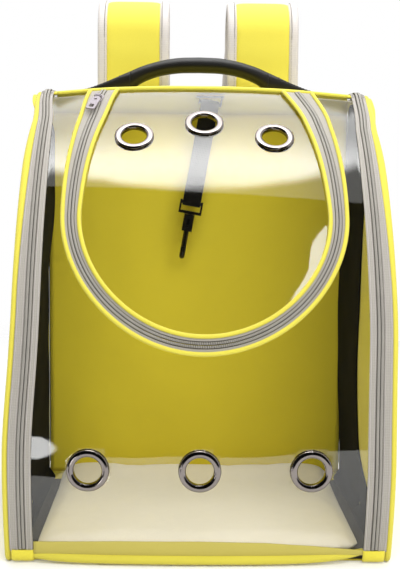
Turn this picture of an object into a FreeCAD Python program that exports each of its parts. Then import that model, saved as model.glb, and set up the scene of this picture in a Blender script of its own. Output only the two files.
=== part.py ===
import FreeCAD, Part

import math
import os

# A pet backpack carrier with a clear bowed front.
# Millimetres, +X to the right, -Y to the front, +Z up, origin on the ground at the middle of the base.

# Body
body_width = 340.0
base_depth = 262.0
body_height = 430.0
belly_height = 105.0
belly_bulge = 15.0
crest_slope_degrees = 60.0
crest_radius = 30.0
foot_radius = 10.0
rear_radius = 20.0

# Fits
sew_gap = 0.2
move_gap = 0.4
hinge_gap = 0.05
overrun = 5.0

# Shell fabrics and boards
fabric_thickness = 1.5
board_thickness = 2.5
lining_thickness = 1.2
base_band_height = 20.0
base_band_thickness = 1.2
back_pad_width = 200.0
back_pad_drop = 74.0
back_pad_thickness = 8.0
back_pad_foot = 76.0

# Piping
side_piping_radius = 3.0
top_piping_radius = 2.3
base_piping_radius = 3.4

# Side panels and their mesh
side_thickness = 4.0
mesh_thickness = 0.8
mesh_rim = 9.0
mesh_front = 0.0
mesh_step_height = 48.0
mesh_step_radius = 30.0
window_front = 14.0
window_back_margin = 23.0
window_foot = 40.0
window_drop = 62.0
window_radius = 24.0

# Clear sheet
sheet_thickness = 1.0
sheet_overlap = 6.0
sheet_foot = 10.0

# Zip tape and coil, shared by the three zips
tape_thickness = 0.8
coil_half_width = 3.0
coil_height = 1.8
side_tape_width = 9.6
door_tape_width = 12.4
zip_split = 0.4
door_zip_split = 0.8
zip_foot = 14.0
zip_tail_drop = 90.0
end_tab_lift = 2.0

# Door
door_margin = 23.0
door_limb_radius = 560.0
door_sheet_edge = 5.0
door_piping_inner_edge = 8.4
door_piping_width = 4.0
door_piping_height = 3.4

# Eyelets
eyelet_outer_radius = 19.0
eyelet_hole_radius = 12.2
eyelet_wall = 0.8
eyelet_dome = 3.0
eyelet_rim = 0.8
eyelet_clearance = 0.3
washer_thickness = 0.9
washer_drop = 2.0
lower_eyelet_height_share = 0.207
lower_eyelet_spacing_share = 0.667
upper_eyelet_spacing_share = 0.554
upper_eyelet_side_drop = 51.0
upper_eyelet_middle_drop = 38.5

# Zip slider and pull
slider_width = 9.2
slider_length = 13.0
slider_plate = 1.2
slider_corner = 2.0
lug_gap = 5.0
lug_width = 1.1
lug_length = 3.2
lug_height = 3.8
bail_radius = 0.8
bail_height = 2.6
pull_clearance = 0.15
pull_eye_radius = 2.1
pull_neck_width = 4.4
pull_thickness = 1.4
pull_width = 9.0
pull_start = 4.0
pull_length = 27.0
pull_corner = 2.0
pull_round_hole_radius = 1.5
pull_round_hole_place = 8.0
pull_slot_width = 4.4
pull_slot_length = 6.0
pull_slot_place = 21.0
pull_slot_corner = 1.0
side_slider_park = 10.8
door_slider_park = 20.0
door_slider_travel = 90.0

# Handle
handle_from_back = 39.0
handle_margin = 32.0
handle_axis_lift = 6.0
handle_rise = 23.0
handle_height = 16.0
handle_depth = 20.0
handle_end_radius = 3.5
handle_journal = 4.0
handle_journal_radius = 3.2
handle_section_shares = (-1.0, -0.8, -0.6, -0.3, 0.0, 0.3, 0.6, 0.8, 1.0)
anchor_length = 12.0
anchor_depth = 22.0
anchor_height = 8.0
anchor_tip = 1.5

# Leash
leash_x = 12.0
leash_from_back = 30.0
leash_tilt_degrees = 10.0
leash_patch_width = 30.0
leash_patch_depth = 18.0
leash_patch_thickness = 2.0
leash_bar_radius = 1.8
leash_bar_drop = 8.0
leash_lug_thickness = 2.0
leash_lug_depth = 6.0
leash_strap_width = 20.0
leash_strap_thickness = 2.0
leash_strap_length = 108.0
leash_loop_clearance = 0.2
leash_loop_wall = 1.8
swivel_frame = 2.0
swivel_bridge = 3.0
swivel_drop = 9.0
swivel_depth = 5.0
stem_radius = 2.0
stem_length = 8.0
stem_head_radius = 3.2
stem_head_length = 3.0
hook_block_width = 11.0
hook_block_front = 11.0
hook_block_back = 8.5
hook_block_height = 18.0
hook_block_fillet = 2.5
hook_neck = 5.0
hook_wire_radius = 2.8
hook_bend_radius = 6.0
hook_spine_length = 22.0
hook_tip_length = 5.0
bolt_radius = 1.9
bolt_seat = 6.0
bolt_travel = 9.0
bolt_knob_radius = 1.2
bolt_knob_reach = 7.0
bolt_button_radius = 2.4
bolt_button_length = 2.0
bolt_knob_place = 2.2

# Shoulder straps
strap_x = 71.0
strap_core_width = 57.0
strap_binding_width = 9.0
strap_thickness = 9.0
strap_binding_extra = 1.5
strap_foot_drop = 38.0
strap_arch_rise = 67.0
strap_arch_radius = 34.0
strap_anchor_height = 40.0
strap_anchor_stand = 6.5
strap_anchor_width = 32.0
strap_anchor_length = 44.0
strap_anchor_thickness = 1.8
webbing_width = 25.0
webbing_thickness = 1.6
webbing_gap = 0.3
webbing_run = 152.0
webbing_tail = 70.0
lock_bar_radius = 2.0
lock_rail_width = 3.0
lock_top_bar = 12.0
lock_bar_spacing = 14.0
lock_foot_bar = 6.0
lock_end = 3.0

# Floor mat
mat_side_margin = 13.8
mat_front_margin = 9.0
mat_back_margin = 13.0
mat_corner = 24.0
mat_drawn_in = 3.0
mat_height = 13.5
cushion_level_shares = (0.0, 0.22, 0.66, 0.88, 1.0)
cushion_inset_shares = (0.20, 0.0, 0.0, 0.28, 1.8)

half_width = body_width / 2
back_y = base_depth / 2
belly_y = -back_y - belly_bulge
crest_slope = math.radians(crest_slope_degrees)
quarter = math.pi / 2


def vec(x, y, z):
    return FreeCAD.Vector(x, y, z)


def box(x_from, x_to, y_from, y_to, z_from, z_to):
    return Part.makeBox(x_to - x_from, y_to - y_from, z_to - z_from, vec(x_from, y_from, z_from))


def fuse(first, *others):
    return first.multiFuse(others).removeSplitter()


def line(start, end):
    return Part.LineSegment(start, end).toShape()


def arc(start, middle, end):
    return Part.Arc(start, middle, end).toShape()


def face_of(edges):
    return Part.Face(Part.Wire(Part.__sortEdges__(edges)))


def polygon_face(points):
    return Part.Face(Part.makePolygon(points + points[:1]))


def round_edges(shape, direction, radius):
    """Round every straight edge of a box that runs in a direction."""
    edges = [edge for edge in shape.Edges if not edge.tangentAt(edge.FirstParameter).cross(direction).Length]
    return shape.makeFillet(radius, edges)


def mirror_x(shape):
    return shape.mirror(vec(0, 0, 0), vec(1, 0, 0))


# Side profile of the body: arcs and lines from the foot over the crest to the back and under the base.
# An arc holds its centre, radius and first and last angle from the forward direction, turning upwards.
lower_radius = (belly_height ** 2 + belly_bulge ** 2) / (2 * belly_bulge)
upper_radius = crest_radius + (body_height - belly_height - crest_radius) / math.sin(crest_slope)
lower_centre = (belly_y + lower_radius, belly_height)
upper_centre = (belly_y + upper_radius, belly_height)
foot_reach = lower_radius - foot_radius
foot_slope = math.asin((foot_radius - belly_height) / foot_reach)
foot_centre = (lower_centre[0] - foot_reach * math.cos(foot_slope), foot_radius)
crest_reach = upper_radius - crest_radius
crest_centre = (upper_centre[0] - crest_reach * math.cos(crest_slope), body_height - crest_radius)
rear_top_centre = (back_y - rear_radius, body_height - rear_radius)
rear_foot_centre = (back_y - rear_radius, rear_radius)

profile = (
    ("arc", foot_centre, foot_radius, -quarter, foot_slope),
    ("arc", lower_centre, lower_radius, foot_slope, 0.0),
    ("arc", upper_centre, upper_radius, 0.0, crest_slope),
    ("arc", crest_centre, crest_radius, crest_slope, quarter),
    ("line", crest_centre[0], rear_top_centre[0]),
    ("arc", rear_top_centre, rear_radius, quarter, 2 * quarter),
    ("line", rear_top_centre[1], rear_foot_centre[1]),
    ("arc", rear_foot_centre, rear_radius, 2 * quarter, 3 * quarter),
    ("line", rear_foot_centre[0], foot_centre[0]),
)
FOOT, LOWER, UPPER, CREST, TOP, REAR_TOP, BACK, REAR_FOOT, BASE = range(len(profile))


def profile_point(station, lift, x=0.0):
    """The point at a station (a profile segment with an angle or a coordinate), off the surface by lift."""
    segment, at = station
    if segment == TOP:
        return vec(x, at, body_height + lift)
    if segment == BACK:
        return vec(x, back_y + lift, at)
    if segment == BASE:
        return vec(x, at, -lift)
    centre, radius = profile[segment][1:3]
    reach = radius + lift
    return vec(x, centre[0] - reach * math.cos(at), centre[1] + reach * math.sin(at))


def segment_start(segment):
    return profile[segment][-2]


def segment_end(segment):
    return profile[segment][-1]


def front_station(height):
    """The station on the front curve at a height."""
    if height < belly_height:
        return LOWER, math.asin((height - belly_height) / lower_radius)
    return UPPER, math.asin((height - belly_height) / upper_radius)


def surface_normal(station):
    at = station[1]
    return vec(0, -math.cos(at), math.sin(at))


def profile_edges(start, end, lift, x):
    """Edges along the profile from one station on to another."""
    edges = []
    segment, at = start
    while True:
        last = segment == end[0]
        stop = end[1] if last else segment_end(segment)
        first_point = profile_point((segment, at), lift, x)
        last_point = profile_point((segment, stop), lift, x)
        if profile[segment][0] == "line":
            edges.append(line(first_point, last_point))
        else:
            edges.append(arc(first_point, profile_point((segment, (at + stop) / 2), lift, x), last_point))
        if last:
            return edges
        segment += 1
        at = segment_start(segment)


def layer(x_from, x_to, low, high, start, end):
    """A sheet that follows the profile between two stations and two lifts."""
    edges = profile_edges(start, end, low, x_from) + profile_edges(start, end, high, x_from)
    for station in (start, end):
        edges.append(line(profile_point(station, low, x_from), profile_point(station, high, x_from)))
    return face_of(edges).extrude(vec(x_to - x_from, 0, 0))


def outline_plate(x_from, x_to, lift):
    """A plate of the whole side outline, raised or lowered by lift."""
    edges = profile_edges((FOOT, -quarter), (BASE, foot_centre[0]), lift, x_from)
    return face_of(edges).extrude(vec(x_to - x_from, 0, 0))


def rod_x(x_from, x_to, y, z, radius):
    return Part.makeCylinder(radius, x_to - x_from, vec(x_from, y, z), vec(1, 0, 0))


# Across the front: piping at the side, then the zip, then the clear sheet.
piping_x = half_width - side_piping_radius
shell_half = half_width - 2 * side_piping_radius - sew_gap
side_zip_x = shell_half - side_tape_width - zip_split / 2
zip_inner_x = side_zip_x - zip_split / 2 - side_tape_width
sheet_half = zip_inner_x + sheet_overlap
trim_half = zip_inner_x - sew_gap

# Through the front: clear sheet, tape, coil.
sheet_low = -sew_gap - sheet_thickness
coil_low = tape_thickness + sew_gap
coil_high = coil_low + coil_height

# The seam under the crest, where the door turns on the top piping.
seam = (UPPER, crest_slope)
hinge_point = profile_point(seam, 0.0)
sheet_end = (UPPER, crest_slope - (top_piping_radius + move_gap) / upper_radius)
top_start = (CREST, crest_slope + (top_piping_radius + sew_gap) / crest_radius)
rear_split = (REAR_TOP, quarter)
rear_foot_split = (REAR_FOOT, 5 * quarter / 2)
top_end = (TOP, rear_top_centre[0] - sew_gap)
zip_end = (BACK, body_height - zip_tail_drop)

# The base piping lies in the foot curve, with the base panel and the base band on either side of it.
base_piping_angle = math.asin((base_piping_radius + sew_gap - foot_radius) / foot_radius)
base_piping_turn = 2 * math.asin((base_piping_radius + sew_gap) / (2 * foot_radius))
base_panel_end = base_piping_angle - base_piping_turn
band_start = (FOOT, base_piping_angle + base_piping_turn)


def base_panel():
    run = layer(-shell_half, shell_half, -fabric_thickness, 0.0, rear_foot_split, (BASE, foot_centre[0]))
    toe = layer(-shell_half, shell_half, -fabric_thickness, 0.0, (FOOT, -quarter), (FOOT, base_panel_end))
    return fuse(run, toe)


def base_board():
    foot = fabric_thickness + sew_gap
    back = rear_foot_centre[0]
    return box(-shell_half, shell_half, foot_centre[0], back, foot, foot + board_thickness)


def base_band():
    return layer(-trim_half, trim_half, 0.0, base_band_thickness, band_start, front_station(base_band_height))


def base_piping():
    centre = profile_point((FOOT, base_piping_angle), 0.0)
    return rod_x(-trim_half, trim_half, centre.y, centre.z, base_piping_radius)


def back_panel():
    end = (REAR_FOOT, rear_foot_split[1] - sew_gap / rear_radius)
    return layer(-shell_half, shell_half, -fabric_thickness, 0.0, rear_split, end)


board_back = back_y - fabric_thickness - sew_gap
lining_back = board_back - board_thickness - sew_gap


def back_board():
    low, high = rear_foot_centre[1], rear_top_centre[1]
    return box(-shell_half, shell_half, board_back - board_thickness, board_back, low, high)


def back_lining():
    low, high = rear_foot_centre[1], rear_top_centre[1]
    return box(-shell_half, shell_half, lining_back - lining_thickness, lining_back, low, high)


def drawn_in_outline(x_half, y_from, y_to, corner, drawn_in, z):
    """A rectangle with round corners whose sides are drawn in between them."""
    turn = corner - corner * math.cos(quarter / 2)
    inner_x = x_half - corner
    inner_from = y_from + corner
    inner_to = y_to - corner
    middle = (y_from + y_to) / 2
    edges = [
        arc(vec(-inner_x, y_from, z), vec(0, y_from + drawn_in, z), vec(inner_x, y_from, z)),
        arc(vec(inner_x, y_from, z), vec(x_half - turn, y_from + turn, z), vec(x_half, inner_from, z)),
        arc(vec(x_half, inner_from, z), vec(x_half - drawn_in, middle, z), vec(x_half, inner_to, z)),
        arc(vec(x_half, inner_to, z), vec(x_half - turn, y_to - turn, z), vec(inner_x, y_to, z)),
        arc(vec(inner_x, y_to, z), vec(0, y_to - drawn_in, z), vec(-inner_x, y_to, z)),
        arc(vec(-inner_x, y_to, z), vec(-x_half + turn, y_to - turn, z), vec(-x_half, inner_to, z)),
        arc(vec(-x_half, inner_to, z), vec(-x_half + drawn_in, middle, z), vec(-x_half, inner_from, z)),
        arc(vec(-x_half, inner_from, z), vec(-x_half + turn, y_from + turn, z), vec(-inner_x, y_from, z)),
    ]
    return Part.Wire(edges)


def cushion(width, y_from, y_to, height, drawn_in):
    """A pad with a crown and drawn-in sides, lying on z = 0."""
    wires = []
    for level_share, inset_share in zip(cushion_level_shares, cushion_inset_shares):
        inset = inset_share * mat_corner
        corner = mat_corner - min(inset, mat_corner / 2)
        level = level_share * height
        half = width / 2 - inset
        wires.append(drawn_in_outline(half, y_from + inset, y_to - inset, corner, drawn_in, level))
    return Part.makeLoft(wires, True, True)


def back_pad():
    height = body_height - back_pad_drop - back_pad_foot
    pad = cushion(back_pad_width, 0.0, height, back_pad_thickness, mat_drawn_in)
    pad.rotate(vec(0, 0, 0), vec(1, 0, 0), 90.0)
    pad = pad.mirror(vec(0, 0, 0), vec(0, 1, 0))
    pad.translate(vec(0, back_y + sew_gap, back_pad_foot))
    return pad


def top_panel():
    return layer(-sheet_half, sheet_half, -sew_gap - fabric_thickness, -sew_gap, top_start, top_end)


def top_piping():
    return rod_x(-trim_half, trim_half, hinge_point.y, hinge_point.z, top_piping_radius)


def side_piping():
    """A bead round the whole right side outline, with its butt joint under the base."""
    begin = profile_point((BASE, -sew_gap), -side_piping_radius, piping_x)
    foot = profile_point((BASE, foot_centre[0]), -side_piping_radius, piping_x)
    loop = profile_edges((FOOT, -quarter), (BASE, sew_gap), -side_piping_radius, piping_x)
    ring = Part.Wire(Part.Circle(begin, vec(0, 1, 0), side_piping_radius).toShape())
    return Part.Wire([line(begin, foot)] + loop).makePipeShell([ring], True, False)


def side_panel():
    """The right side panel with its window."""
    x_from = piping_x - side_thickness / 2
    x_to = piping_x + side_thickness / 2
    rim = -2 * side_piping_radius - sew_gap
    plate = outline_plate(x_from, x_to, rim)
    window_back = back_y - window_back_margin
    window_top = body_height - window_drop
    cutter = box(x_from - overrun, x_to + overrun, window_front, window_back, window_foot, window_top)
    return plate.cut(round_edges(cutter, vec(1, 0, 0), window_radius))


def side_mesh():
    """The right mesh: the back of the side and a step along the floor."""
    x_to = piping_x - side_thickness / 2 - sew_gap
    x_from = x_to - mesh_thickness
    plate = outline_plate(x_from, x_to, -mesh_rim)
    start = x_from - overrun
    far = -base_depth
    high = 2 * body_height
    bend = mesh_step_radius * (1 - math.cos(quarter / 2))
    edges = [
        line(vec(start, far, mesh_step_height), vec(start, mesh_front - mesh_step_radius, mesh_step_height)),
        arc(
            vec(start, mesh_front - mesh_step_radius, mesh_step_height),
            vec(start, mesh_front - bend, mesh_step_height + bend),
            vec(start, mesh_front, mesh_step_height + mesh_step_radius),
        ),
        line(vec(start, mesh_front, mesh_step_height + mesh_step_radius), vec(start, mesh_front, high)),
        line(vec(start, mesh_front, high), vec(start, far, high)),
        line(vec(start, far, high), vec(start, far, mesh_step_height)),
    ]
    cutter = face_of(edges).extrude(vec(mesh_thickness + 2 * overrun, 0, 0))
    return plate.cut(cutter)


# The door outline is drawn square to the sheet at the door's widest place and cut straight through.
door_radius = trim_half - door_margin
door_centre_height = body_height - door_radius
door_station = front_station(door_centre_height)
door_centre = profile_point(door_station, 0.0)
door_out = surface_normal(door_station)
door_up = vec(0, math.sin(door_station[1]), math.cos(door_station[1]))
door_top = upper_radius * math.sin(crest_slope - door_station[1]) + 2 * overrun
door_cut_depth = upper_radius - upper_radius * math.cos(crest_slope - door_station[1]) + 2 * overrun


def door_half_width(up, spread):
    """Half the door outline's width above its widest place."""
    reach = door_limb_radius + spread
    return math.sqrt(reach ** 2 - up ** 2) - (door_limb_radius - door_radius)


def door_prism(spread):
    """The inside of the door outline, spread outwards and extruded through the sheet."""
    wide = door_radius + spread

    def at(x, up):
        return door_centre + vec(x, 0, 0) + door_up * up - door_out * door_cut_depth

    middle = door_half_width(door_top / 2, spread)
    narrow = door_half_width(door_top, spread)
    edges = [
        arc(at(-wide, 0.0), at(0.0, -wide), at(wide, 0.0)),
        arc(at(wide, 0.0), at(middle, door_top / 2), at(narrow, door_top)),
        line(at(narrow, door_top), at(-narrow, door_top)),
        arc(at(-narrow, door_top), at(-middle, door_top / 2), at(-wide, 0.0)),
    ]
    return face_of(edges).extrude(door_out * (2 * door_cut_depth))


door_ring_start = front_station(door_centre_height - door_radius - 2 * door_tape_width)


def door_ring(inner, outer, low, high):
    """A band along the door outline between two spreads and two lifts."""
    band = layer(-sheet_half, sheet_half, low, high, door_ring_start, sheet_end)
    return band.common(door_prism(outer)).cut(door_prism(inner))


def door_tape_outer():
    return door_ring(door_zip_split / 2, door_tape_width, 0.0, tape_thickness)


def door_tape_inner():
    return door_ring(-door_tape_width, -door_zip_split / 2, 0.0, tape_thickness)


def door_coil_outer():
    return door_ring(door_zip_split / 2, coil_half_width, coil_low, coil_high)


def door_coil_inner():
    return door_ring(-coil_half_width, -door_zip_split / 2, coil_low, coil_high)


door_piping_outer_edge = door_piping_inner_edge + door_piping_width
door_piping_top = coil_low + door_piping_height


def door_piping_outer():
    return door_ring(door_piping_inner_edge, door_piping_outer_edge, coil_low, door_piping_top)


def door_piping_inner():
    return door_ring(-door_piping_outer_edge, -door_piping_inner_edge, coil_low, door_piping_top)


def set_on_surface(shape, station, x):
    """A shape made on z = 0 about the origin, set on the front surface."""
    turn = FreeCAD.Rotation(vec(0, 0, 1), surface_normal(station))
    placed = shape.copy()
    placed.Placement = FreeCAD.Placement(profile_point(station, 0.0, x), turn)
    return placed


lower_eyelet_station = front_station(lower_eyelet_height_share * body_height)
lower_eyelet_spacing = lower_eyelet_spacing_share * trim_half
lower_eyelet_places = [(lower_eyelet_station, side * lower_eyelet_spacing) for side in (-1, 0, 1)]
upper_eyelet_spacing = upper_eyelet_spacing_share * door_radius
upper_eyelet_places = [
    (front_station(body_height - upper_eyelet_side_drop), -upper_eyelet_spacing),
    (front_station(body_height - upper_eyelet_middle_drop), 0.0),
    (front_station(body_height - upper_eyelet_side_drop), upper_eyelet_spacing),
]


def eyelet():
    """A domed flange with a barrel through the sheet, turned about z."""
    barrel_radius = eyelet_hole_radius + eyelet_wall
    barrel_foot = -sew_gap - sheet_thickness - washer_drop
    dome_x = (eyelet_hole_radius + eyelet_outer_radius) / 2
    dome = [
        line(vec(eyelet_hole_radius, 0, barrel_foot), vec(barrel_radius, 0, barrel_foot)),
        line(vec(barrel_radius, 0, barrel_foot), vec(barrel_radius, 0, 0)),
        line(vec(barrel_radius, 0, 0), vec(eyelet_outer_radius, 0, 0)),
        line(vec(eyelet_outer_radius, 0, 0), vec(eyelet_outer_radius, 0, eyelet_rim)),
        arc(
            vec(eyelet_outer_radius, 0, eyelet_rim),
            vec(dome_x, 0, eyelet_dome),
            vec(eyelet_hole_radius, 0, eyelet_rim),
        ),
        line(vec(eyelet_hole_radius, 0, eyelet_rim), vec(eyelet_hole_radius, 0, barrel_foot)),
    ]
    return face_of(dome).revolve(vec(0, 0, 0), vec(0, 0, 1), 360.0)


def washer():
    """The ring behind the sheet round an eyelet's barrel."""
    inner = eyelet_hole_radius + eyelet_wall + sew_gap
    low = -sew_gap - sheet_thickness - washer_drop
    ring = Part.makeCylinder(eyelet_outer_radius, washer_thickness, vec(0, 0, low))
    return ring.cut(Part.makeCylinder(inner, washer_thickness, vec(0, 0, low)))


def eyelet_bore():
    radius = eyelet_hole_radius + eyelet_wall + eyelet_clearance
    return Part.makeCylinder(radius, 2 * overrun, vec(0, 0, -overrun))


def group_on_surface(make, places):
    return Part.makeCompound([set_on_surface(make(), station, x) for station, x in places])


def front_sheet():
    sheet = layer(-sheet_half, sheet_half, sheet_low, -sew_gap, front_station(sheet_foot), sheet_end)
    sheet = sheet.cut(door_prism(door_sheet_edge))
    return sheet.cut(group_on_surface(eyelet_bore, lower_eyelet_places))


def door_sheet():
    sheet = layer(-sheet_half, sheet_half, sheet_low, -sew_gap, door_ring_start, sheet_end)
    sheet = sheet.common(door_prism(-door_sheet_edge))
    return sheet.cut(group_on_surface(eyelet_bore, upper_eyelet_places))


def side_strip(x_from, x_to, low, high):
    return layer(x_from, x_to, low, high, front_station(zip_foot), zip_end)


def side_tapes():
    """Both half tapes of the right side zip."""
    outer = side_strip(side_zip_x + zip_split / 2, shell_half, 0.0, tape_thickness)
    inner = side_strip(zip_inner_x, side_zip_x - zip_split / 2, 0.0, tape_thickness)
    return Part.makeCompound([outer, inner])


def side_coils():
    """Both half coils of the right side zip."""
    outer = side_strip(side_zip_x + zip_split / 2, side_zip_x + coil_half_width, coil_low, coil_high)
    inner = side_strip(side_zip_x - coil_half_width, side_zip_x - zip_split / 2, coil_low, coil_high)
    return Part.makeCompound([outer, inner])


def zip_end_tabs():
    """The yellow tab over the foot of each side zip."""
    end = front_station(zip_foot - sew_gap)
    tab = layer(zip_inner_x, shell_half, sheet_low, end_tab_lift, band_start, end)
    sheet_clear = layer(0.0, sheet_half + sew_gap, sheet_low, 0.0, front_station(sheet_foot - sew_gap), end)
    tab = tab.cut(sheet_clear)
    return Part.makeCompound([tab, mirror_x(tab)])


slider_low = coil_high + move_gap
slider_top = slider_low + slider_plate
bail_level = slider_top + bail_height


def slider():
    """A zip slider over a coil: x across the zip, y along it, z off the tape."""
    half = slider_width / 2
    reach = slider_length / 2
    plate = box(-half, half, -reach, reach, tape_thickness + move_gap, slider_top)
    plate = round_edges(plate, vec(0, 0, 1), slider_corner)
    channel = coil_half_width + move_gap
    plate = plate.cut(box(-channel, channel, -reach - overrun, reach + overrun, 0.0, slider_low))
    pieces = [rod_x(-lug_gap / 2, lug_gap / 2, 0.0, bail_level, bail_radius)]
    for side in (-1, 1):
        inner = side * lug_gap / 2
        outer = inner + side * lug_width
        low, high = sorted((inner, outer))
        pieces.append(box(low, high, -lug_length / 2, lug_length / 2, slider_top, slider_top + lug_height))
    return fuse(plate, *pieces)


def pull():
    """A flat pull on the slider's bail, lying back along the zip."""
    neck = pull_neck_width / 2
    low = bail_level - pull_thickness / 2
    high = low + pull_thickness
    eye = rod_x(-neck, neck, 0.0, bail_level, pull_eye_radius)
    shank = box(-neck, neck, -pull_start - pull_corner, 0.0, low, high)
    blade = box(-pull_width / 2, pull_width / 2, -pull_length, -pull_start, low, high)
    blade = round_edges(blade, vec(0, 0, 1), pull_corner)
    body = fuse(blade, shank, eye)
    hole_foot = vec(0, -pull_round_hole_place, low - overrun)
    hole = Part.makeCylinder(pull_round_hole_radius, 2 * overrun, hole_foot)
    slot_half = pull_slot_length / 2
    slot = box(
        -pull_slot_width / 2,
        pull_slot_width / 2,
        -pull_slot_place - slot_half,
        -pull_slot_place + slot_half,
        low - overrun,
        high + overrun,
    )
    slot = round_edges(slot, vec(0, 0, 1), pull_slot_corner)
    bore = rod_x(-pull_width, pull_width, 0.0, bail_level, bail_radius + pull_clearance)
    return body.cut(hole).cut(slot).cut(bore)


def set_on_axes(shape, origin, along, out):
    """A shape set with its y along the zip and its z off the surface."""
    across = along.cross(out)
    matrix = FreeCAD.Matrix(
        across.x, along.x, out.x, origin.x,
        across.y, along.y, out.y, origin.y,
        across.z, along.z, out.z, origin.z,
        0, 0, 0, 1,
    )
    placed = shape.copy()
    placed.Placement = FreeCAD.Placement(matrix)
    return placed


# The side sliders are parked at the zips' ends on the back, with their pulls hanging.
side_slider_place = vec(side_zip_x, back_y, zip_end[1] + side_slider_park)
side_slider_along = vec(0, 0, 1)
side_slider_out = vec(0, 1, 0)


def on_side_zip(shape):
    return set_on_axes(shape, side_slider_place, side_slider_along, side_slider_out)


def door_zip_frame(distance):
    """A point of the left limb of the door zip, its direction towards the hinge and the surface normal."""

    def at(angle):
        up = upper_radius * math.sin(angle - door_station[1])
        return profile_point((UPPER, angle), 0.0, -door_half_width(up, 0.0))

    angle = crest_slope - distance / upper_radius
    step = move_gap / upper_radius
    along = at(angle + step) - at(angle - step)
    along.normalize()
    return at(angle), along, surface_normal((UPPER, angle))


def on_door_zip(shape):
    return set_on_axes(shape, *door_zip_frame(door_slider_park))


def door_slider_turn():
    """Centre, axis and angle of the arc that the door slider travels along its limb."""
    run_shares = (0, 1 / 2, 1)
    places = [door_slider_park + share * door_slider_travel for share in run_shares]
    first, middle, last = [door_zip_frame(place)[0] for place in places]
    centre = Part.Circle(first, middle, last).Center
    axis = (middle - first).cross(last - first)
    axis.normalize()
    return centre, axis, math.degrees((first - centre).getAngle(last - centre))


# Handle: a soft grip that arches over the top panel and turns on its two round ends.
handle_y = back_y - handle_from_back
handle_axis_z = body_height + handle_axis_lift
handle_half_span = trim_half - handle_margin


def oval(centre, half_depth, half_height):
    """A section of the grip, square to x, as four arcs."""
    side = half_depth * math.cos(quarter / 2)
    rise = half_height * math.sin(quarter / 2)
    corners = [vec(0, side, -rise), vec(0, side, rise), vec(0, -side, rise), vec(0, -side, -rise)]
    middles = [vec(0, half_depth, 0), vec(0, 0, half_height), vec(0, -half_depth, 0), vec(0, 0, -half_height)]
    edges = []
    for index, middle in enumerate(middles):
        start = centre + corners[index]
        end = centre + corners[(index + 1) % len(corners)]
        edges.append(arc(start, centre + middle, end))
    return Part.Wire(edges)


def handle_grip():
    wires = []
    for share in handle_section_shares:
        swell = (1 + math.cos(math.pi * share)) / 2
        half_height = handle_end_radius + (handle_height / 2 - handle_end_radius) * swell
        half_depth = handle_end_radius + (handle_depth / 2 - handle_end_radius) * swell
        centre = vec(share * handle_half_span, handle_y, handle_axis_z + handle_rise * swell)
        wires.append(oval(centre, half_depth, half_height))
    grip = Part.makeLoft(wires, True, False)
    reach = handle_half_span + handle_journal
    for side in (-1, 1):
        low, high = sorted((side * (handle_half_span - handle_journal), side * reach))
        grip = fuse(grip, rod_x(low, high, handle_y, handle_axis_z, handle_journal_radius))
    return grip


def handle_anchors():
    """The sewn wedge at each end of the grip."""
    start = handle_half_span + handle_journal + move_gap
    end = start + anchor_length
    y_from = handle_y - anchor_depth / 2
    foot = body_height
    wedge = polygon_face([
        vec(start, y_from, foot),
        vec(end, y_from, foot),
        vec(end, y_from, foot + anchor_tip),
        vec(start, y_from, foot + anchor_height),
    ]).extrude(vec(0, anchor_depth, 0))
    return Part.makeCompound([wedge, mirror_x(wedge)])


# Leash: its pieces are made hanging straight down from the bar at the origin, then tilted and set in place.
leash_y = back_y - leash_from_back
leash_pivot = vec(leash_x, leash_y, body_height - sew_gap - fabric_thickness - sew_gap - leash_bar_drop)
loop_inner = leash_bar_radius + leash_loop_clearance
loop_outer = loop_inner + leash_loop_wall
swivel_top = -leash_strap_length
bridge_high = swivel_top - swivel_drop
bridge_low = bridge_high - swivel_bridge
block_top = bridge_low - move_gap
block_low = block_top - hook_block_height
strap_half = leash_strap_width / 2
eye_half = strap_half + move_gap
tip_y = hook_neck - 2 * hook_bend_radius
bend_z = block_low - hook_spine_length
tip_z = bend_z + hook_tip_length
bolt_foot = tip_z + move_gap
bolt_head = block_low + bolt_seat
knob_z = block_low + bolt_knob_place


def hang_leash(shape):
    placed = shape.copy()
    placed.rotate(vec(0, 0, 0), vec(0, 1, 0), leash_tilt_degrees)
    placed.translate(leash_pivot)
    return placed


def leash_anchor():
    """A sewn patch with two lugs and the bar that the leash hangs from."""
    patch_low = leash_pivot.z + leash_bar_drop - leash_patch_thickness
    patch = box(
        leash_x - leash_patch_width / 2,
        leash_x + leash_patch_width / 2,
        leash_y - leash_patch_depth / 2,
        leash_y + leash_patch_depth / 2,
        patch_low,
        patch_low + leash_patch_thickness,
    )
    reach = eye_half + leash_lug_thickness
    pieces = [hang_leash(rod_x(-reach, reach, 0.0, 0.0, leash_bar_radius))]
    for side in (-1, 1):
        low, high = sorted((side * eye_half, side * reach))
        depth = leash_lug_depth / 2
        lug = box(low, high, -depth, depth, -leash_bar_radius, leash_bar_drop + overrun)
        pieces.append(hang_leash(lug))
    ceiling_z = patch_low + leash_patch_thickness
    ceiling = box(-body_width, body_width, -base_depth, base_depth, ceiling_z, 2 * body_height)
    return fuse(patch, *pieces).cut(ceiling)


def leash_strap():
    """Flat webbing with a loop round the bar above and round the swivel eye below."""
    half = leash_strap_thickness / 2
    run = box(-strap_half, strap_half, -half, half, swivel_top, 0.0)
    loops = [rod_x(-strap_half, strap_half, 0.0, z, loop_outer) for z in (0.0, swivel_top)]
    bores = [rod_x(-body_width, body_width, 0.0, z, loop_inner) for z in (0.0, swivel_top)]
    return hang_leash(fuse(run, *loops).cut(bores[0]).cut(bores[1]))


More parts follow.
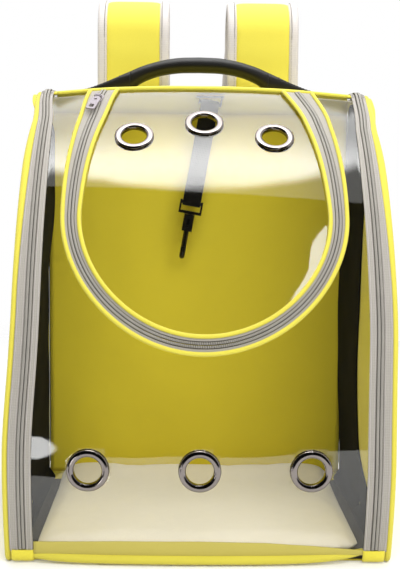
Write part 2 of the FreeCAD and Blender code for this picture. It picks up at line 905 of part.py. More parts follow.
def hook_swivel():
    """The eye that the strap holds, with a headed stem below it."""
    half = swivel_depth / 2
    reach = eye_half + swivel_frame
    pieces = [
        box(-reach, reach, -half, half, bridge_low, bridge_high),
        Part.makeCylinder(stem_radius, stem_length, vec(0, 0, bridge_low - stem_length)),
        Part.makeCylinder(stem_head_radius, stem_head_length, vec(0, 0, bridge_low - stem_length)),
    ]
    for side in (-1, 1):
        low, high = sorted((side * eye_half, side * reach))
        pieces.append(box(low, high, -half, half, bridge_high, swivel_top + half))
    bar = rod_x(-reach, reach, 0.0, swivel_top, leash_bar_radius)
    return hang_leash(fuse(bar, *pieces))


def hook_body():
    """The snap hook: a block that turns on the stem, and a bent hook below it."""
    half = hook_block_width / 2
    block = box(-half, half, -hook_block_front, hook_block_back, block_low, block_top)
    block = round_edges(block, vec(0, 0, 1), hook_block_fillet)
    bend_y = hook_neck - hook_bend_radius
    root = vec(0, hook_neck, block_low + bolt_seat)
    path = Part.Wire([
        line(root, vec(0, hook_neck, bend_z)),
        arc(vec(0, hook_neck, bend_z), vec(0, bend_y, bend_z - hook_bend_radius), vec(0, tip_y, bend_z)),
        line(vec(0, tip_y, bend_z), vec(0, tip_y, tip_z)),
    ])
    ring = Part.Wire(Part.Circle(root, vec(0, 0, 1), hook_wire_radius).toShape())
    body = fuse(block, path.makePipeShell([ring], True, False))
    stem_end = bridge_low - stem_length
    neck_bore = Part.makeCylinder(stem_radius + hinge_gap, hook_block_height, vec(0, 0, stem_end))
    head_room = stem_head_length + 2 * move_gap
    head_bore = Part.makeCylinder(stem_head_radius + move_gap, head_room, vec(0, 0, stem_end - move_gap))
    bolt_room = bolt_seat + bolt_travel + move_gap
    bolt_bore = Part.makeCylinder(bolt_radius + hinge_gap, bolt_room, vec(0, tip_y, block_low))
    slot_half = bolt_knob_radius + hinge_gap
    slot_top = knob_z + bolt_travel + bolt_knob_radius + move_gap
    slot = box(-slot_half, slot_half, -hook_block_front - overrun, tip_y, block_low, slot_top)
    for cutter in (neck_bore, head_bore, bolt_bore, slot):
        body = body.cut(cutter)
    return hang_leash(body)


def hook_bolt():
    """The bolt that closes the hook, with its thumb button."""
    pin = Part.makeCylinder(bolt_radius, bolt_head - bolt_foot, vec(0, tip_y, bolt_foot))
    knob = Part.makeCylinder(bolt_knob_radius, bolt_knob_reach, vec(0, tip_y, knob_z), vec(0, -1, 0))
    knob_end = vec(0, tip_y - bolt_knob_reach, knob_z)
    button = Part.makeCylinder(bolt_button_radius, bolt_button_length, knob_end, vec(0, -1, 0))
    return hang_leash(fuse(pin, knob, button))


# Shoulder straps: a pad that rises behind the top, arches back and runs down to a buckle near the base.
strap_y = back_y + sew_gap + (strap_thickness + strap_binding_extra) / 2
strap_foot = body_height - strap_foot_drop
arch_centre = (strap_y + strap_arch_radius, body_height + strap_arch_rise)
strap_anchor_point = (back_y + strap_anchor_stand, strap_anchor_height)
drop_y = arch_centre[0] - strap_anchor_point[0]
drop_z = arch_centre[1] - strap_anchor_point[1]
drop_length = math.hypot(drop_y, drop_z)
strap_lean = math.atan2(drop_y, drop_z) + math.asin(strap_arch_radius / drop_length)
run_length = math.sqrt(drop_length ** 2 - strap_arch_radius ** 2)
strap_pad_length = run_length - webbing_run


def arch_point(angle, lift, x):
    reach = strap_arch_radius + lift
    return vec(x, arch_centre[0] - reach * math.cos(angle), arch_centre[1] + reach * math.sin(angle))


def run_point(along, lift, x):
    """A point beside the strap's straight run down, measured from the end of the arch."""
    start = arch_point(2 * quarter + strap_lean, lift, x)
    return start + vec(0, -math.sin(strap_lean), -math.cos(strap_lean)) * along


def strap_side(lift, x):
    """One face of the strap, seen from the side."""
    arch_end = 2 * quarter + strap_lean
    return [
        line(vec(x, strap_y - lift, strap_foot), arch_point(0.0, lift, x)),
        arc(arch_point(0.0, lift, x), arch_point(arch_end / 2, lift, x), arch_point(arch_end, lift, x)),
        line(arch_point(arch_end, lift, x), run_point(strap_pad_length, lift, x)),
    ]


def strap_band(x_from, x_to, thickness):
    half = thickness / 2
    edges = strap_side(-half, x_from) + strap_side(half, x_from)
    edges.append(line(vec(x_from, strap_y - half, strap_foot), vec(x_from, strap_y + half, strap_foot)))
    edges.append(line(run_point(strap_pad_length, -half, x_from), run_point(strap_pad_length, half, x_from)))
    return face_of(edges).extrude(vec(x_to - x_from, 0, 0))


def strap_pad():
    half = strap_core_width / 2
    return strap_band(strap_x - half, strap_x + half, strap_thickness)


def strap_binding():
    """The bound edge along each side of the right strap."""
    inner = strap_core_width / 2 + sew_gap
    outer = inner + strap_binding_width
    thickness = strap_thickness + strap_binding_extra
    sides = [strap_band(strap_x + side * inner, strap_x + side * outer, thickness) for side in (-1, 1)]
    return Part.makeCompound(sides)


def on_run(shape):
    """A shape made with z up the run and y off its outer face, set below the strap's pad."""
    placed = shape.copy()
    placed.rotate(vec(0, 0, 0), vec(1, 0, 0), -math.degrees(strap_lean))
    placed.translate(run_point(strap_pad_length, 0.0, strap_x))
    return placed


lock_half = webbing_width / 2 + move_gap
lock_middle_bar = lock_top_bar + lock_bar_spacing
lock_low_bar = lock_middle_bar + lock_bar_spacing
wrap_radius = lock_bar_radius + webbing_gap + webbing_thickness / 2


def strap_loop():
    """The webbing loop that joins the right pad to its ladder lock."""
    half = webbing_width / 2
    outer = rod_x(-half, half, 0.0, -lock_top_bar, lock_bar_radius + webbing_gap + webbing_thickness)
    bore = rod_x(-body_width, body_width, 0.0, -lock_top_bar, lock_bar_radius + webbing_gap)
    run = box(-half, half, -webbing_thickness, webbing_thickness, -lock_top_bar, -sew_gap)
    return on_run(fuse(outer, run).cut(bore))


def ladder_lock():
    """The right ladder lock: two rails, two round bars and a flat foot bar."""
    reach = lock_half + lock_rail_width
    top = -lock_top_bar + lock_bar_radius + lock_end
    foot = -lock_low_bar - lock_foot_bar / 2
    pieces = [rod_x(-reach, reach, 0.0, -place, lock_bar_radius) for place in (lock_top_bar, lock_middle_bar)]
    for side in (-1, 1):
        low, high = sorted((side * lock_half, side * reach))
        pieces.append(box(low, high, -lock_bar_radius, lock_bar_radius, foot, top))
    bar = box(-reach, reach, -lock_bar_radius, lock_bar_radius, foot, foot + lock_foot_bar)
    return on_run(fuse(bar, *pieces))


def strap_webbing():
    """Webbing from the right lower anchor, round the middle bar and back down as a tail."""
    half = webbing_width / 2
    x = -half
    tail_foot = -lock_middle_bar - webbing_tail
    edges = []
    for reach in (wrap_radius - webbing_thickness / 2, wrap_radius + webbing_thickness / 2):
        centre_z = -lock_middle_bar
        edges.append(line(vec(x, -reach, -webbing_run), vec(x, -reach, centre_z)))
        edges.append(arc(vec(x, -reach, centre_z), vec(x, 0, centre_z + reach), vec(x, reach, centre_z)))
        edges.append(line(vec(x, reach, centre_z), vec(x, reach, tail_foot)))
    near = wrap_radius - webbing_thickness / 2
    far = wrap_radius + webbing_thickness / 2
    edges.append(line(vec(x, -near, -webbing_run), vec(x, -far, -webbing_run)))
    edges.append(line(vec(x, near, tail_foot), vec(x, far, tail_foot)))
    return on_run(face_of(edges).extrude(vec(webbing_width, 0, 0)))


def strap_anchors():
    """The tab sewn to the back panel under each webbing."""
    y_from = back_y + sew_gap
    high = strap_anchor_height + strap_anchor_length / 2
    low = high - strap_anchor_length
    half = strap_anchor_width / 2
    tab = polygon_face([
        vec(strap_x - half, y_from, low),
        vec(strap_x + half, y_from, low),
        vec(strap_x + webbing_width / 2, y_from, high),
        vec(strap_x - webbing_width / 2, y_from, high),
    ]).extrude(vec(0, strap_anchor_thickness, 0))
    return Part.makeCompound([tab, mirror_x(tab)])


def floor_mat():
    width = 2 * (shell_half - mat_side_margin)
    mat = cushion(width, mat_front_margin - back_y, back_y - mat_back_margin, mat_height, mat_drawn_in)
    mat.translate(vec(0, 0, fabric_thickness + sew_gap + board_thickness + sew_gap))
    return mat


# Nodes: pieces made once, then pieces made on the right and mirrored to the left.
single_pieces = {
    "base_panel": base_panel(),
    "base_board": base_board(),
    "base_band": base_band(),
    "base_piping": base_piping(),
    "back_panel": back_panel(),
    "back_board": back_board(),
    "back_lining": back_lining(),
    "back_pad": back_pad(),
    "top_panel": top_panel(),
    "top_piping": top_piping(),
    "front_sheet": front_sheet(),
    "lower_eyelets": group_on_surface(eyelet, lower_eyelet_places),
    "lower_washers": group_on_surface(washer, lower_eyelet_places),
    "zip_end_tabs": zip_end_tabs(),
    "door_tape_outer": door_tape_outer(),
    "door_coil_outer": door_coil_outer(),
    "door_piping_outer": door_piping_outer(),
    "door_sheet": door_sheet(),
    "door_tape_inner": door_tape_inner(),
    "door_coil_inner": door_coil_inner(),
    "door_piping_inner": door_piping_inner(),
    "upper_eyelets": group_on_surface(eyelet, upper_eyelet_places),
    "upper_washers": group_on_surface(washer, upper_eyelet_places),
    "door_slider": on_door_zip(slider()),
    "door_pull": on_door_zip(pull()),
    "handle_grip": handle_grip(),
    "handle_anchors": handle_anchors(),
    "leash_anchor": leash_anchor(),
    "leash_strap": leash_strap(),
    "hook_swivel": hook_swivel(),
    "hook_body": hook_body(),
    "hook_bolt": hook_bolt(),
    "strap_anchors": strap_anchors(),
    "floor_mat": floor_mat(),
}
paired_pieces = {
    "side_panel": side_panel(),
    "side_mesh": side_mesh(),
    "side_piping": side_piping(),
    "side_tapes": side_tapes(),
    "side_coils": side_coils(),
    "side_slider": on_side_zip(slider()),
    "side_pull": on_side_zip(pull()),
    "strap_pad": strap_pad(),
    "strap_binding": strap_binding(),
    "strap_loop": strap_loop(),
    "ladder_lock": ladder_lock(),
    "strap_webbing": strap_webbing(),
}


def export(name, shape):
    solids = shape.Solids
    good = all(solid.isValid() and solid.Volume > 0 for solid in solids)
    bounds = shape.optimalBoundingBox(False, False)
    corners = (bounds.XMin, bounds.XMax, bounds.YMin, bounds.YMax, bounds.ZMin, bounds.ZMax)
    spans = " ".join(f"{value:.2f}" for value in corners)
    print(f"{name:20s} solids {len(solids)} valid {good} volume {shape.Volume:.1f} box {spans}")
    result = solids[0] if len(solids) == 1 else Part.makeCompound(solids)
    result.exportStep(f"parts/{name}.step")


def report_axis(name, point, axis, note=""):
    places = " ".join(f"{value:.6f}" for value in (point.x, point.y, point.z, axis.x, axis.y, axis.z))
    print(f"axis {name} {places} {note}")


os.makedirs("parts", exist_ok=True)
for name, shape in single_pieces.items():
    export(name, shape)
for name, shape in paired_pieces.items():
    export(f"{name}_right", shape)
    export(f"{name}_left", mirror_x(shape))

turn_centre, turn_axis, turn_degrees = door_slider_turn()
pull_origin, pull_along, pull_out = door_zip_frame(door_slider_park)
report_axis("door", hinge_point, vec(1, 0, 0))
report_axis("door_slider", turn_centre, turn_axis, f"degrees {turn_degrees:.4f}")
report_axis("door_pull", pull_origin + pull_out * bail_level, pull_along.cross(pull_out))
report_axis("side_slider", side_slider_place, side_slider_along)
side_pull_pivot = side_slider_place + side_slider_out * bail_level
report_axis("side_pull", side_pull_pivot, side_slider_along.cross(side_slider_out))
report_axis("handle", vec(0, handle_y, handle_axis_z), vec(1, 0, 0))
tilt = FreeCAD.Rotation(vec(0, 1, 0), leash_tilt_degrees)
report_axis("leash", leash_pivot, tilt.multVec(vec(1, 0, 0)))
report_axis("hook", leash_pivot, tilt.multVec(vec(0, 0, 1)))
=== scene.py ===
import math

import bpy
import numpy as np
from mathutils import Euler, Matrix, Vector


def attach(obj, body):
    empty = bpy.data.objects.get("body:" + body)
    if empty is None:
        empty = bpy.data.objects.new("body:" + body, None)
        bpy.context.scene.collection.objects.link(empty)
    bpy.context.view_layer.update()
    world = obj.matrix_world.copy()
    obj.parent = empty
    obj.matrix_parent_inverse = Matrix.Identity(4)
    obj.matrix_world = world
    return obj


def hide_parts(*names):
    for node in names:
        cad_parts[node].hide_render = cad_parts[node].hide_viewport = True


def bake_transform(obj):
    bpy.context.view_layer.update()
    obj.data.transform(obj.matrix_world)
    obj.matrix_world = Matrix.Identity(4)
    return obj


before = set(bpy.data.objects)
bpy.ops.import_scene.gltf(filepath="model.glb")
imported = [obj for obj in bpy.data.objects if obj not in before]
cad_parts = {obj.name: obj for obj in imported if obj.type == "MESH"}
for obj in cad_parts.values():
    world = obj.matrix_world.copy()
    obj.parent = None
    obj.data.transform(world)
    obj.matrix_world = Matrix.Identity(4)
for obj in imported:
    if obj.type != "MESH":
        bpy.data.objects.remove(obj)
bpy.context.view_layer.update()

# A pet backpack carrier with a clear bowed front. Metres, +X right, -Y front, +Z up.
mm = 0.001
turn = 2 * math.pi
upward = (0.0, 0.0, 1.0)
rightward = (1.0, 0.0, 0.0)
backward = (0.0, 1.0, 0.0)
quarter = math.pi / 2

# Body profile, as the frame has it
half_width = 170 * mm
back_y = 131 * mm
body_height = 430 * mm
belly_height = 105 * mm
belly_bulge = 15 * mm
crest_slope = math.radians(60)
crest_radius = 30 * mm
foot_radius = 10 * mm
rear_radius = 20 * mm
profile_step = 0.5 * mm

# Across the front
piping_x = 167 * mm
piping_radius = 3.1 * mm
shell_half = 163.8 * mm
zip_x = 154 * mm
trim_half = 144 * mm
sheet_half = 150 * mm
sheet_thickness = 1 * mm

# How far the clear front stands out between its zips
bow_mid = 3 * mm
bow_foot = 3 * mm
bow_foot_reach = 70 * mm
bow_crest = 0.6 * mm
bow_crest_reach = 60 * mm

# How the soft body leans to its right, and how its foot and one top corner spread
lean_size = 3.6 * mm
lean_fall = 55 * mm
lean_rest = 4 * mm
foot_spread_share = 0.014
spread_reach = 110 * mm
corner_spread = 6.5 * mm
corner_reach = 70 * mm
lean_low = 100 * mm
lean_high = 230 * mm
spread_low = 80 * mm

# How the crest sinks towards the sides
sag_size = 5 * mm
sag_rise = 1.2 * mm
sag_power = 2.5
sag_reach = 80 * mm

# Door
door_radius = 121 * mm
limb_radius = 560 * mm
limb_offset = limb_radius - door_radius
door_height = 309 * mm
door_sheet_edge = 5 * mm
band_ups = np.array([-121, -60, 0, 80, 170]) * mm
band_halves = np.array([6.2, 6.2, 6.5, 8.8, 12.4]) * mm

belly_y = -back_y - belly_bulge
lower_radius = (belly_height ** 2 + belly_bulge ** 2) / (2 * belly_bulge)
upper_radius = crest_radius + (body_height - belly_height - crest_radius) / math.sin(crest_slope)
foot_slope = math.asin((foot_radius - belly_height) / (lower_radius - foot_radius))
foot_y = belly_y + lower_radius - (lower_radius - foot_radius) * math.cos(foot_slope)
crest_y = belly_y + upper_radius - (upper_radius - crest_radius) * math.cos(crest_slope)
rear_y = back_y - rear_radius
rear_z = body_height - rear_radius


def arc_run(y, z, radius, first, last):
    angles = np.linspace(first, last, 2 + int(abs(last - first) * radius / profile_step))
    cos, sin = np.cos(angles), np.sin(angles)
    return np.stack([y - radius * cos, z + radius * sin, -cos, sin], 1)


def line_run(start, end, normal):
    count = 2 + int(math.dist(start, end) / profile_step)
    shares = np.linspace(0, 1, count)[:, None]
    points = np.array(start) * (1 - shares) + np.array(end) * shares
    return np.hstack([points, np.tile(normal, (count, 1))])


runs = [
    arc_run(foot_y, foot_radius, foot_radius, -quarter, foot_slope),
    arc_run(belly_y + lower_radius, belly_height, lower_radius, foot_slope, 0),
    arc_run(belly_y + upper_radius, belly_height, upper_radius, 0, crest_slope),
    arc_run(crest_y, body_height - crest_radius, crest_radius, crest_slope, quarter),
    line_run((crest_y, body_height), (rear_y, body_height), (0, 1)),
    arc_run(rear_y, rear_z, rear_radius, quarter, 2 * quarter),
    line_run((back_y, rear_z), (back_y, rear_radius), (1, 0)),
    arc_run(rear_y, rear_radius, rear_radius, 2 * quarter, 3 * quarter),
    line_run((rear_y, 0), (foot_y, 0), (0, -1)),
]
profile_rows = np.vstack(runs)
profile_steps = np.hypot(*np.diff(profile_rows[:, :2], axis=0).T)
profile_s = np.concatenate([[0], np.cumsum(profile_steps)])
run_ends = profile_s[np.cumsum([len(run) for run in runs]) - 1]
s_foot, s_belly, s_seam, s_crest, s_top, s_rear, s_back, s_heel, s_end = run_ends
door_angle = math.asin((door_height - belly_height) / upper_radius)


def profile(s):
    """y, z and outward normal of the side profile at a length along it, from under the foot over the top."""
    return [np.interp(s, profile_s, profile_rows[:, column]) for column in range(4)]


def profile_normals(s):
    _, _, out_y, out_z = profile(s)
    return np.stack([np.zeros_like(out_y), out_y, out_z], -1)


front_rows = profile_s <= s_seam


def s_at(height):
    return float(np.interp(height, profile_rows[front_rows, 1], profile_s[front_rows]))


def smooth(value):
    value = np.clip(value, 0, 1)
    return value * value * (3 - 2 * value)


def bow(x, s):
    across = np.clip(1 - (x / trim_half) ** 2, 0, None)
    along = bow_mid + bow_foot * np.exp(-(s / bow_foot_reach) ** 2)
    along = along + bow_crest * np.exp(-((s - s_seam) / bow_crest_reach) ** 2)
    return across * along * (1 - smooth((s - s_seam) / (s_top - s_seam)))


def slump(x, s):
    """How far the soft body leans to its right, by place across and along the profile."""
    rise = smooth((s - lean_start) / (lean_full - lean_start))
    lean = lean_size * rise * (1 - smooth((s - s_seam + lean_fall) / (lean_fall - lean_rest)))
    near_foot = 1 - smooth((s - spread_start) / spread_reach) + 1 - smooth((s_end - s) / spread_reach)
    at_crest = smooth((s - s_seam + corner_reach) / corner_reach)
    at_crest = at_crest * (1 - smooth((s - s_crest) / (s_rear - s_crest)))
    corner = corner_spread * at_crest * np.clip(x / zip_x, 0, None) ** 3
    return lean + x * foot_spread_share * near_foot + corner


def sag(x, s):
    """How far the crest and the top sink towards the sides."""
    zone = smooth((s - s_seam + sag_reach) / sag_reach) * (1 - smooth((s - s_top) / (s_rear - s_top)))
    return zone * (sag_size * np.abs(x / half_width) ** sag_power - sag_rise)


def surface(x, s, lift=0.0):
    """Points of the body's skin, bowed out between the zips, off it by lift."""
    x, s, lift = np.broadcast_arrays(np.asarray(x, float), np.asarray(s, float), np.asarray(lift, float))
    y, z, out_y, out_z = profile(s)
    stand = bow(x, s)
    flat = out_z < 0
    stand_y = np.where(flat & (s < s_belly), -1.0, out_y)
    stand_z = np.where(flat, 0.0, out_z)
    return np.stack([x + slump(x, s), y + stand_y * stand + out_y * lift,
                     z + stand_z * stand + out_z * lift - sag(x, s)], -1)


def surface_normal(x, s):
    step = 0.5 * mm
    across = surface(x + step, s) - surface(x - step, s)
    along = surface(x, s + step) - surface(x, s - step)
    normal = np.cross(across, along)
    return normal / np.linalg.norm(normal, axis=-1, keepdims=True)


lean_start = s_at(lean_low)
lean_full = s_at(lean_high)
spread_start = s_at(spread_low)


def up_of(s):
    return upper_radius * np.sin((s - s_belly) / upper_radius - door_angle)


def s_of(up):
    return s_belly + upper_radius * (door_angle + np.arcsin(np.asarray(up) / upper_radius))


def door_spread(x, up):
    """Distance outwards from the door's outline."""
    round_part = np.hypot(x, up) - door_radius
    limb_part = np.hypot(np.abs(x) + limb_offset, up) - limb_radius
    return np.where(up < 0, round_part, limb_part)


def door_half(up, spread):
    low = np.sqrt(np.clip((door_radius + spread) ** 2 - up ** 2, 0, None))
    high = np.sqrt((limb_radius + spread) ** 2 - up ** 2) - limb_offset
    return np.where(up < 0, low, high)


# Meshes
def grid(points, wrap_rows=False, wrap_columns=False, caps=False):
    """Vertices, faces and cloth coordinates of a grid of points."""
    points = np.asarray(points, float)
    rows, columns = points.shape[:2]
    index = np.arange(rows * columns).reshape(rows, columns)
    shown = points
    if wrap_rows:
        index = np.vstack([index, index[:1]])
        shown = np.concatenate([shown, shown[:1]], 0)
    if wrap_columns:
        index = np.hstack([index, index[:, :1]])
        shown = np.concatenate([shown, shown[:, :1]], 1)
    across = np.linalg.norm(np.diff(shown, axis=1), axis=2).mean(0)
    along = np.linalg.norm(np.diff(shown, axis=0), axis=2).mean(1)
    u = np.concatenate([[0], np.cumsum(across)])
    v = np.concatenate([[0], np.cumsum(along)])
    corners = [(0, 0), (0, 1), (1, 1), (1, 0)]
    high, wide = index.shape[0] - 1, index.shape[1] - 1
    faces = np.stack([index[a:a + high, b:b + wide] for a, b in corners], -1).reshape(-1, 4)
    flat_u, flat_v = np.broadcast_to(u, index.shape), np.broadcast_to(v[:, None], index.shape)
    coords = np.stack([np.stack([flat_u[a:a + high, b:b + wide], flat_v[a:a + high, b:b + wide]], -1)
                       for a, b in corners], 2).reshape(-1, 2)
    faces = [tuple(face) for face in faces.tolist()]
    if caps:
        for row, flip in ((0, 1), (-1, -1)):
            faces.append(tuple(int(i) for i in index[row, :columns][::-flip]))
            coords = np.vstack([coords, np.stack([u[:columns], np.full(columns, v[row])], -1)[::-flip]])
    return points.reshape(-1, 3), faces, coords


def combine(parts):
    verts, faces, coords, count = [], [], [], 0
    for part_verts, part_faces, part_coords in parts:
        verts.append(part_verts)
        faces += [tuple(i + count for i in face) for face in part_faces]
        coords.append(part_coords)
        count += len(part_verts)
    return np.vstack(verts), faces, np.vstack(coords)


def make(name, part, material, body, replaces=()):
    """An object from a mesh part, riding on a body of the frame."""
    verts, faces, coords = part
    mesh = bpy.data.meshes.new(name)
    mesh.from_pydata(verts.tolist(), [], faces)
    layer = mesh.uv_layers.new(name="cloth")
    layer.data.foreach_set("uv", np.asarray(coords, np.float32).ravel())
    mesh.polygons.foreach_set("use_smooth", [True] * len(mesh.polygons))
    mesh.validate()
    mesh.update()
    piece = bpy.data.objects.new(name, mesh)
    bpy.context.scene.collection.objects.link(piece)
    for each in material if isinstance(material, (list, tuple)) else [material]:
        mesh.materials.append(each)
    if body:
        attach(piece, body)
    if replaces:
        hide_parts(*replaces)
    return piece


def thicken(piece, thickness, offset=-1.0):
    solid = piece.modifiers.new("thickness", "SOLIDIFY")
    solid.thickness = thickness
    solid.offset = offset
    solid.use_even_offset = True
    return piece


def soften(piece, levels=1):
    level = piece.modifiers.new("soft", "SUBSURF")
    level.levels = levels
    level.render_levels = levels
    return piece


def frames(path, normals, closed=False):
    """Side, normal and tangent vectors along a path."""
    path = np.asarray(path, float)
    if closed:
        tangents = np.roll(path, -1, 0) - np.roll(path, 1, 0)
    else:
        tangents = np.gradient(path, axis=0)
    tangents /= np.linalg.norm(tangents, axis=1, keepdims=True)
    sides = np.cross(tangents, normals)
    sides /= np.linalg.norm(sides, axis=1, keepdims=True)
    return sides, np.cross(sides, tangents), tangents


def rounded(half, high, count=16, power=2.0):
    """A closed section: an ellipse for power 2, nearer a rectangle for more."""
    angles = np.linspace(0, turn, count, endpoint=False)
    share = 2 / power
    cos, sin = np.cos(angles), np.sin(angles)
    across = half * np.sign(cos) * np.abs(cos) ** share
    return np.stack([across, high * np.sign(sin) * np.abs(sin) ** share], -1)


def sweep(path, normals, section, closed=False, caps=True):
    """A section carried along a path; the section may change from point to point."""
    sides, ups, _ = frames(path, normals, closed)
    section = np.broadcast_to(section, (len(path),) + np.shape(section)[-2:])
    points = np.asarray(path)[:, None] + sides[:, None] * section[..., :1] + ups[:, None] * section[..., 1:]
    return grid(points, wrap_rows=closed, wrap_columns=True, caps=caps and not closed)


def resample(path, step, closed=False):
    """Points at even steps along a path."""
    path = np.asarray(path, float)
    if closed:
        path = np.vstack([path, path[:1]])
    lengths = np.concatenate([[0], np.cumsum(np.linalg.norm(np.diff(path, axis=0), axis=1))])
    count = max(2, int(round(lengths[-1] / step)))
    places = np.linspace(0, lengths[-1], count + (not closed), endpoint=not closed)
    return np.stack([np.interp(places, lengths, path[:, axis]) for axis in range(path.shape[1])], -1)


def scatter(template, faces, origins, sides, ups, tangents):
    """Copies of one small solid at many frames: its x across, y along, z off the surface."""
    template = np.asarray(template, float)
    verts = origins[:, None] + sides[:, None] * template[None, :, :1]
    verts = verts + tangents[:, None] * template[None, :, 1:2] + ups[:, None] * template[None, :, 2:]
    count = len(template)
    all_faces = [tuple(i + k * count for i in face) for k in range(len(origins)) for face in faces]
    flat = np.vstack([template[list(face)][:, :2] for face in faces])
    return verts.reshape(-1, 3), all_faces, np.tile(flat, (len(origins), 1))


def spindle(length, half, high, rings=(-0.5, -0.36, 0.36, 0.5), widths=(0.45, 1.0, 1.0, 0.45), sides=6):
    """A short rounded bar along y."""
    angles = np.linspace(0, turn, sides, endpoint=False)
    points = [[half * w * math.cos(a), ring * length, high * w * math.sin(a)]
              for ring, w in zip(rings, widths) for a in angles]
    verts, faces, _ = grid(np.array(points).reshape(len(rings), sides, 3), wrap_columns=True, caps=True)
    return verts, faces


# Pitch, length and radius of the stitches
seam_stitch = (3.4 * mm, 2.7 * mm, 0.35 * mm)
zip_stitch = (3.0 * mm, 2.3 * mm, 0.28 * mm)
strap_stitch = (3.6 * mm, 2.8 * mm, 0.32 * mm)
leash_stitch = (2.4 * mm, 1.9 * mm, 0.3 * mm)


def stitch_part(path, normals, stitch=seam_stitch, closed=False):
    """Thread stitches along a path."""
    pitch, length, radius = stitch
    both = resample(np.hstack([path, normals]), pitch, closed)
    sides, ups, tangents = frames(both[:, :3], both[:, 3:], closed)
    verts, faces = spindle(length, radius * 1.3, radius)
    return scatter(verts, faces, both[:, :3], sides, ups, tangents)


# Depths of the relief in the materials
weave_relief = 0.3 * mm
rib_relief = 0.25 * mm
rib_cross = 2.4 * mm
grain_relief = 0.08 * mm
knit_relief = 0.5 * mm
pile_relief = 0.6 * mm
smear_relief = 1.0 * mm
hair_relief = 0.05 * mm

# Pitches of threads, ribs and holes
cloth_thread = 1.1 * mm
lining_thread = 0.9 * mm
strap_thread = 1.2 * mm
bias_thread = 0.8 * mm
sewing_thread = 0.4 * mm
tape_rib = 1.3 * mm
shade_strip_rib = 0.8 * mm
webbing_rib = 1.7 * mm
binding_rib = 1.2 * mm
side_net_pitch = 2.4 * mm
pad_net_pitch = 3.2 * mm


# Materials
class Paint:
    """A material made of nodes."""

    def __init__(self, name):
        self.material = bpy.data.materials.new(name)
        self.material.use_nodes = True
        self.tree = self.material.node_tree
        self.tree.nodes.clear()

    def node(self, kind, inputs=(), **settings):
        made = self.tree.nodes.new(kind)
        for key, value in settings.items():
            setattr(made, key, value)
        for key, value in dict(inputs).items():
            if isinstance(value, bpy.types.NodeSocket):
                self.tree.links.new(value, made.inputs[key])
            else:
                made.inputs[key].default_value = value
        return made

    def math(self, operation, *values):
        return self.node("ShaderNodeMath", enumerate(values), operation=operation).outputs[0]

    def total(self, *weighted):
        """A sum of values, each with its weight."""
        parts = [self.math("MULTIPLY", value, weight) for value, weight in weighted]
        while len(parts) > 1:
            parts[:2] = [self.math("ADD", parts[0], parts[1])]
        return parts[0]

    def cloth(self):
        return self.node("ShaderNodeUVMap", uv_map="cloth").outputs["UV"]

    def place(self):
        return self.node("ShaderNodeTexCoord").outputs["Object"]

    def noise(self, vector, scale, detail=3.0, roughness=0.5):
        inputs = {"Vector": vector, "Scale": scale, "Detail": detail, "Roughness": roughness}
        return self.node("ShaderNodeTexNoise", inputs).outputs["Fac"]

    def blend(self, share, first, second):
        mix = self.node("ShaderNodeMix", data_type="RGBA")
        sockets = (mix.inputs["Factor"], mix.inputs[6], mix.inputs[7])
        for socket, value in zip(sockets, (share, first, second)):
            if isinstance(value, bpy.types.NodeSocket):
                self.tree.links.new(value, socket)
            else:
                socket.default_value = value
        return mix.outputs[2]

    def spread(self, value, low, high, from_low=0.0, from_high=1.0):
        inputs = {"Value": value, "From Min": from_low, "From Max": from_high, "To Min": low, "To Max": high}
        return self.node("ShaderNodeMapRange", inputs).outputs[0]

    def bump(self, height, strength, distance):
        inputs = {"Height": height, "Strength": strength, "Distance": distance}
        return self.node("ShaderNodeBump", inputs).outputs[0]

    def ripple(self, value, pitch, phase=0.0):
        """A wave from 0 to 1 along a coordinate."""
        wave = self.math("SINE", self.math("MULTIPLY_ADD", value, turn / pitch, phase))
        return self.math("MULTIPLY_ADD", wave, 0.5, 0.5)

    def checks(self, operation, across, along, pitch):
        """Staggered soft spots where waves across and along meet."""
        spots = [self.math("MULTIPLY", self.ripple(across, pitch, phase), self.ripple(along, pitch, phase))
                 for phase in (0.0, math.pi)]
        return self.math(operation, *spots)

    def finish(self, **inputs):
        named = {key.replace("_", " "): value for key, value in inputs.items()}
        shader = self.node("ShaderNodeBsdfPrincipled", named)
        self.output(shader.outputs[0])
        return self.material

    def output(self, shader):
        self.node("ShaderNodeOutputMaterial", {"Surface": shader})
        return self.material


def rgb(red, green, blue):
    """A colour written as on a screen, for the shader."""
    return tuple(((value / 255 + 0.055) / 1.055) ** 2.4 if value > 10 else value / 255 / 12.92
                 for value in (red, green, blue)) + (1.0,)


def tint(colour, share):
    return tuple(min(1.0, value * share) for value in colour[:3]) + (1.0,)


def woven(name, colour, thread, roughness=0.78, contrast=0.16, strength=0.5, sheen=0.25, slant=False):
    """Plain or slanted weave with uneven yarn and slow changes of tone."""
    paint = Paint(name)
    vector = paint.cloth()
    split = paint.node("ShaderNodeSeparateXYZ", {"Vector": vector})
    across, along = split.outputs[0], split.outputs[1]
    if slant:
        along = paint.math("ADD", along, across)
    weave = paint.checks("ADD", across, along, thread)
    slow = paint.noise(vector, 14.0, 4.0)
    yarn = paint.noise(vector, 700.0, 2.0)
    tone = paint.total((weave, 0.45), (yarn, 0.25), (slow, 0.3))
    shade = paint.blend(tone, tint(colour, 1 - contrast), tint(colour, 1 + contrast * 0.6))
    height = paint.math("ADD", weave, paint.math("MULTIPLY", yarn, 0.5))
    normal = paint.bump(height, strength, weave_relief)
    rough = paint.spread(yarn, roughness - 0.08, roughness + 0.1)
    return paint.finish(Base_Color=shade, Roughness=rough, Normal=normal, Sheen_Weight=sheen,
                        Sheen_Roughness=0.4, Specular_IOR_Level=0.25)


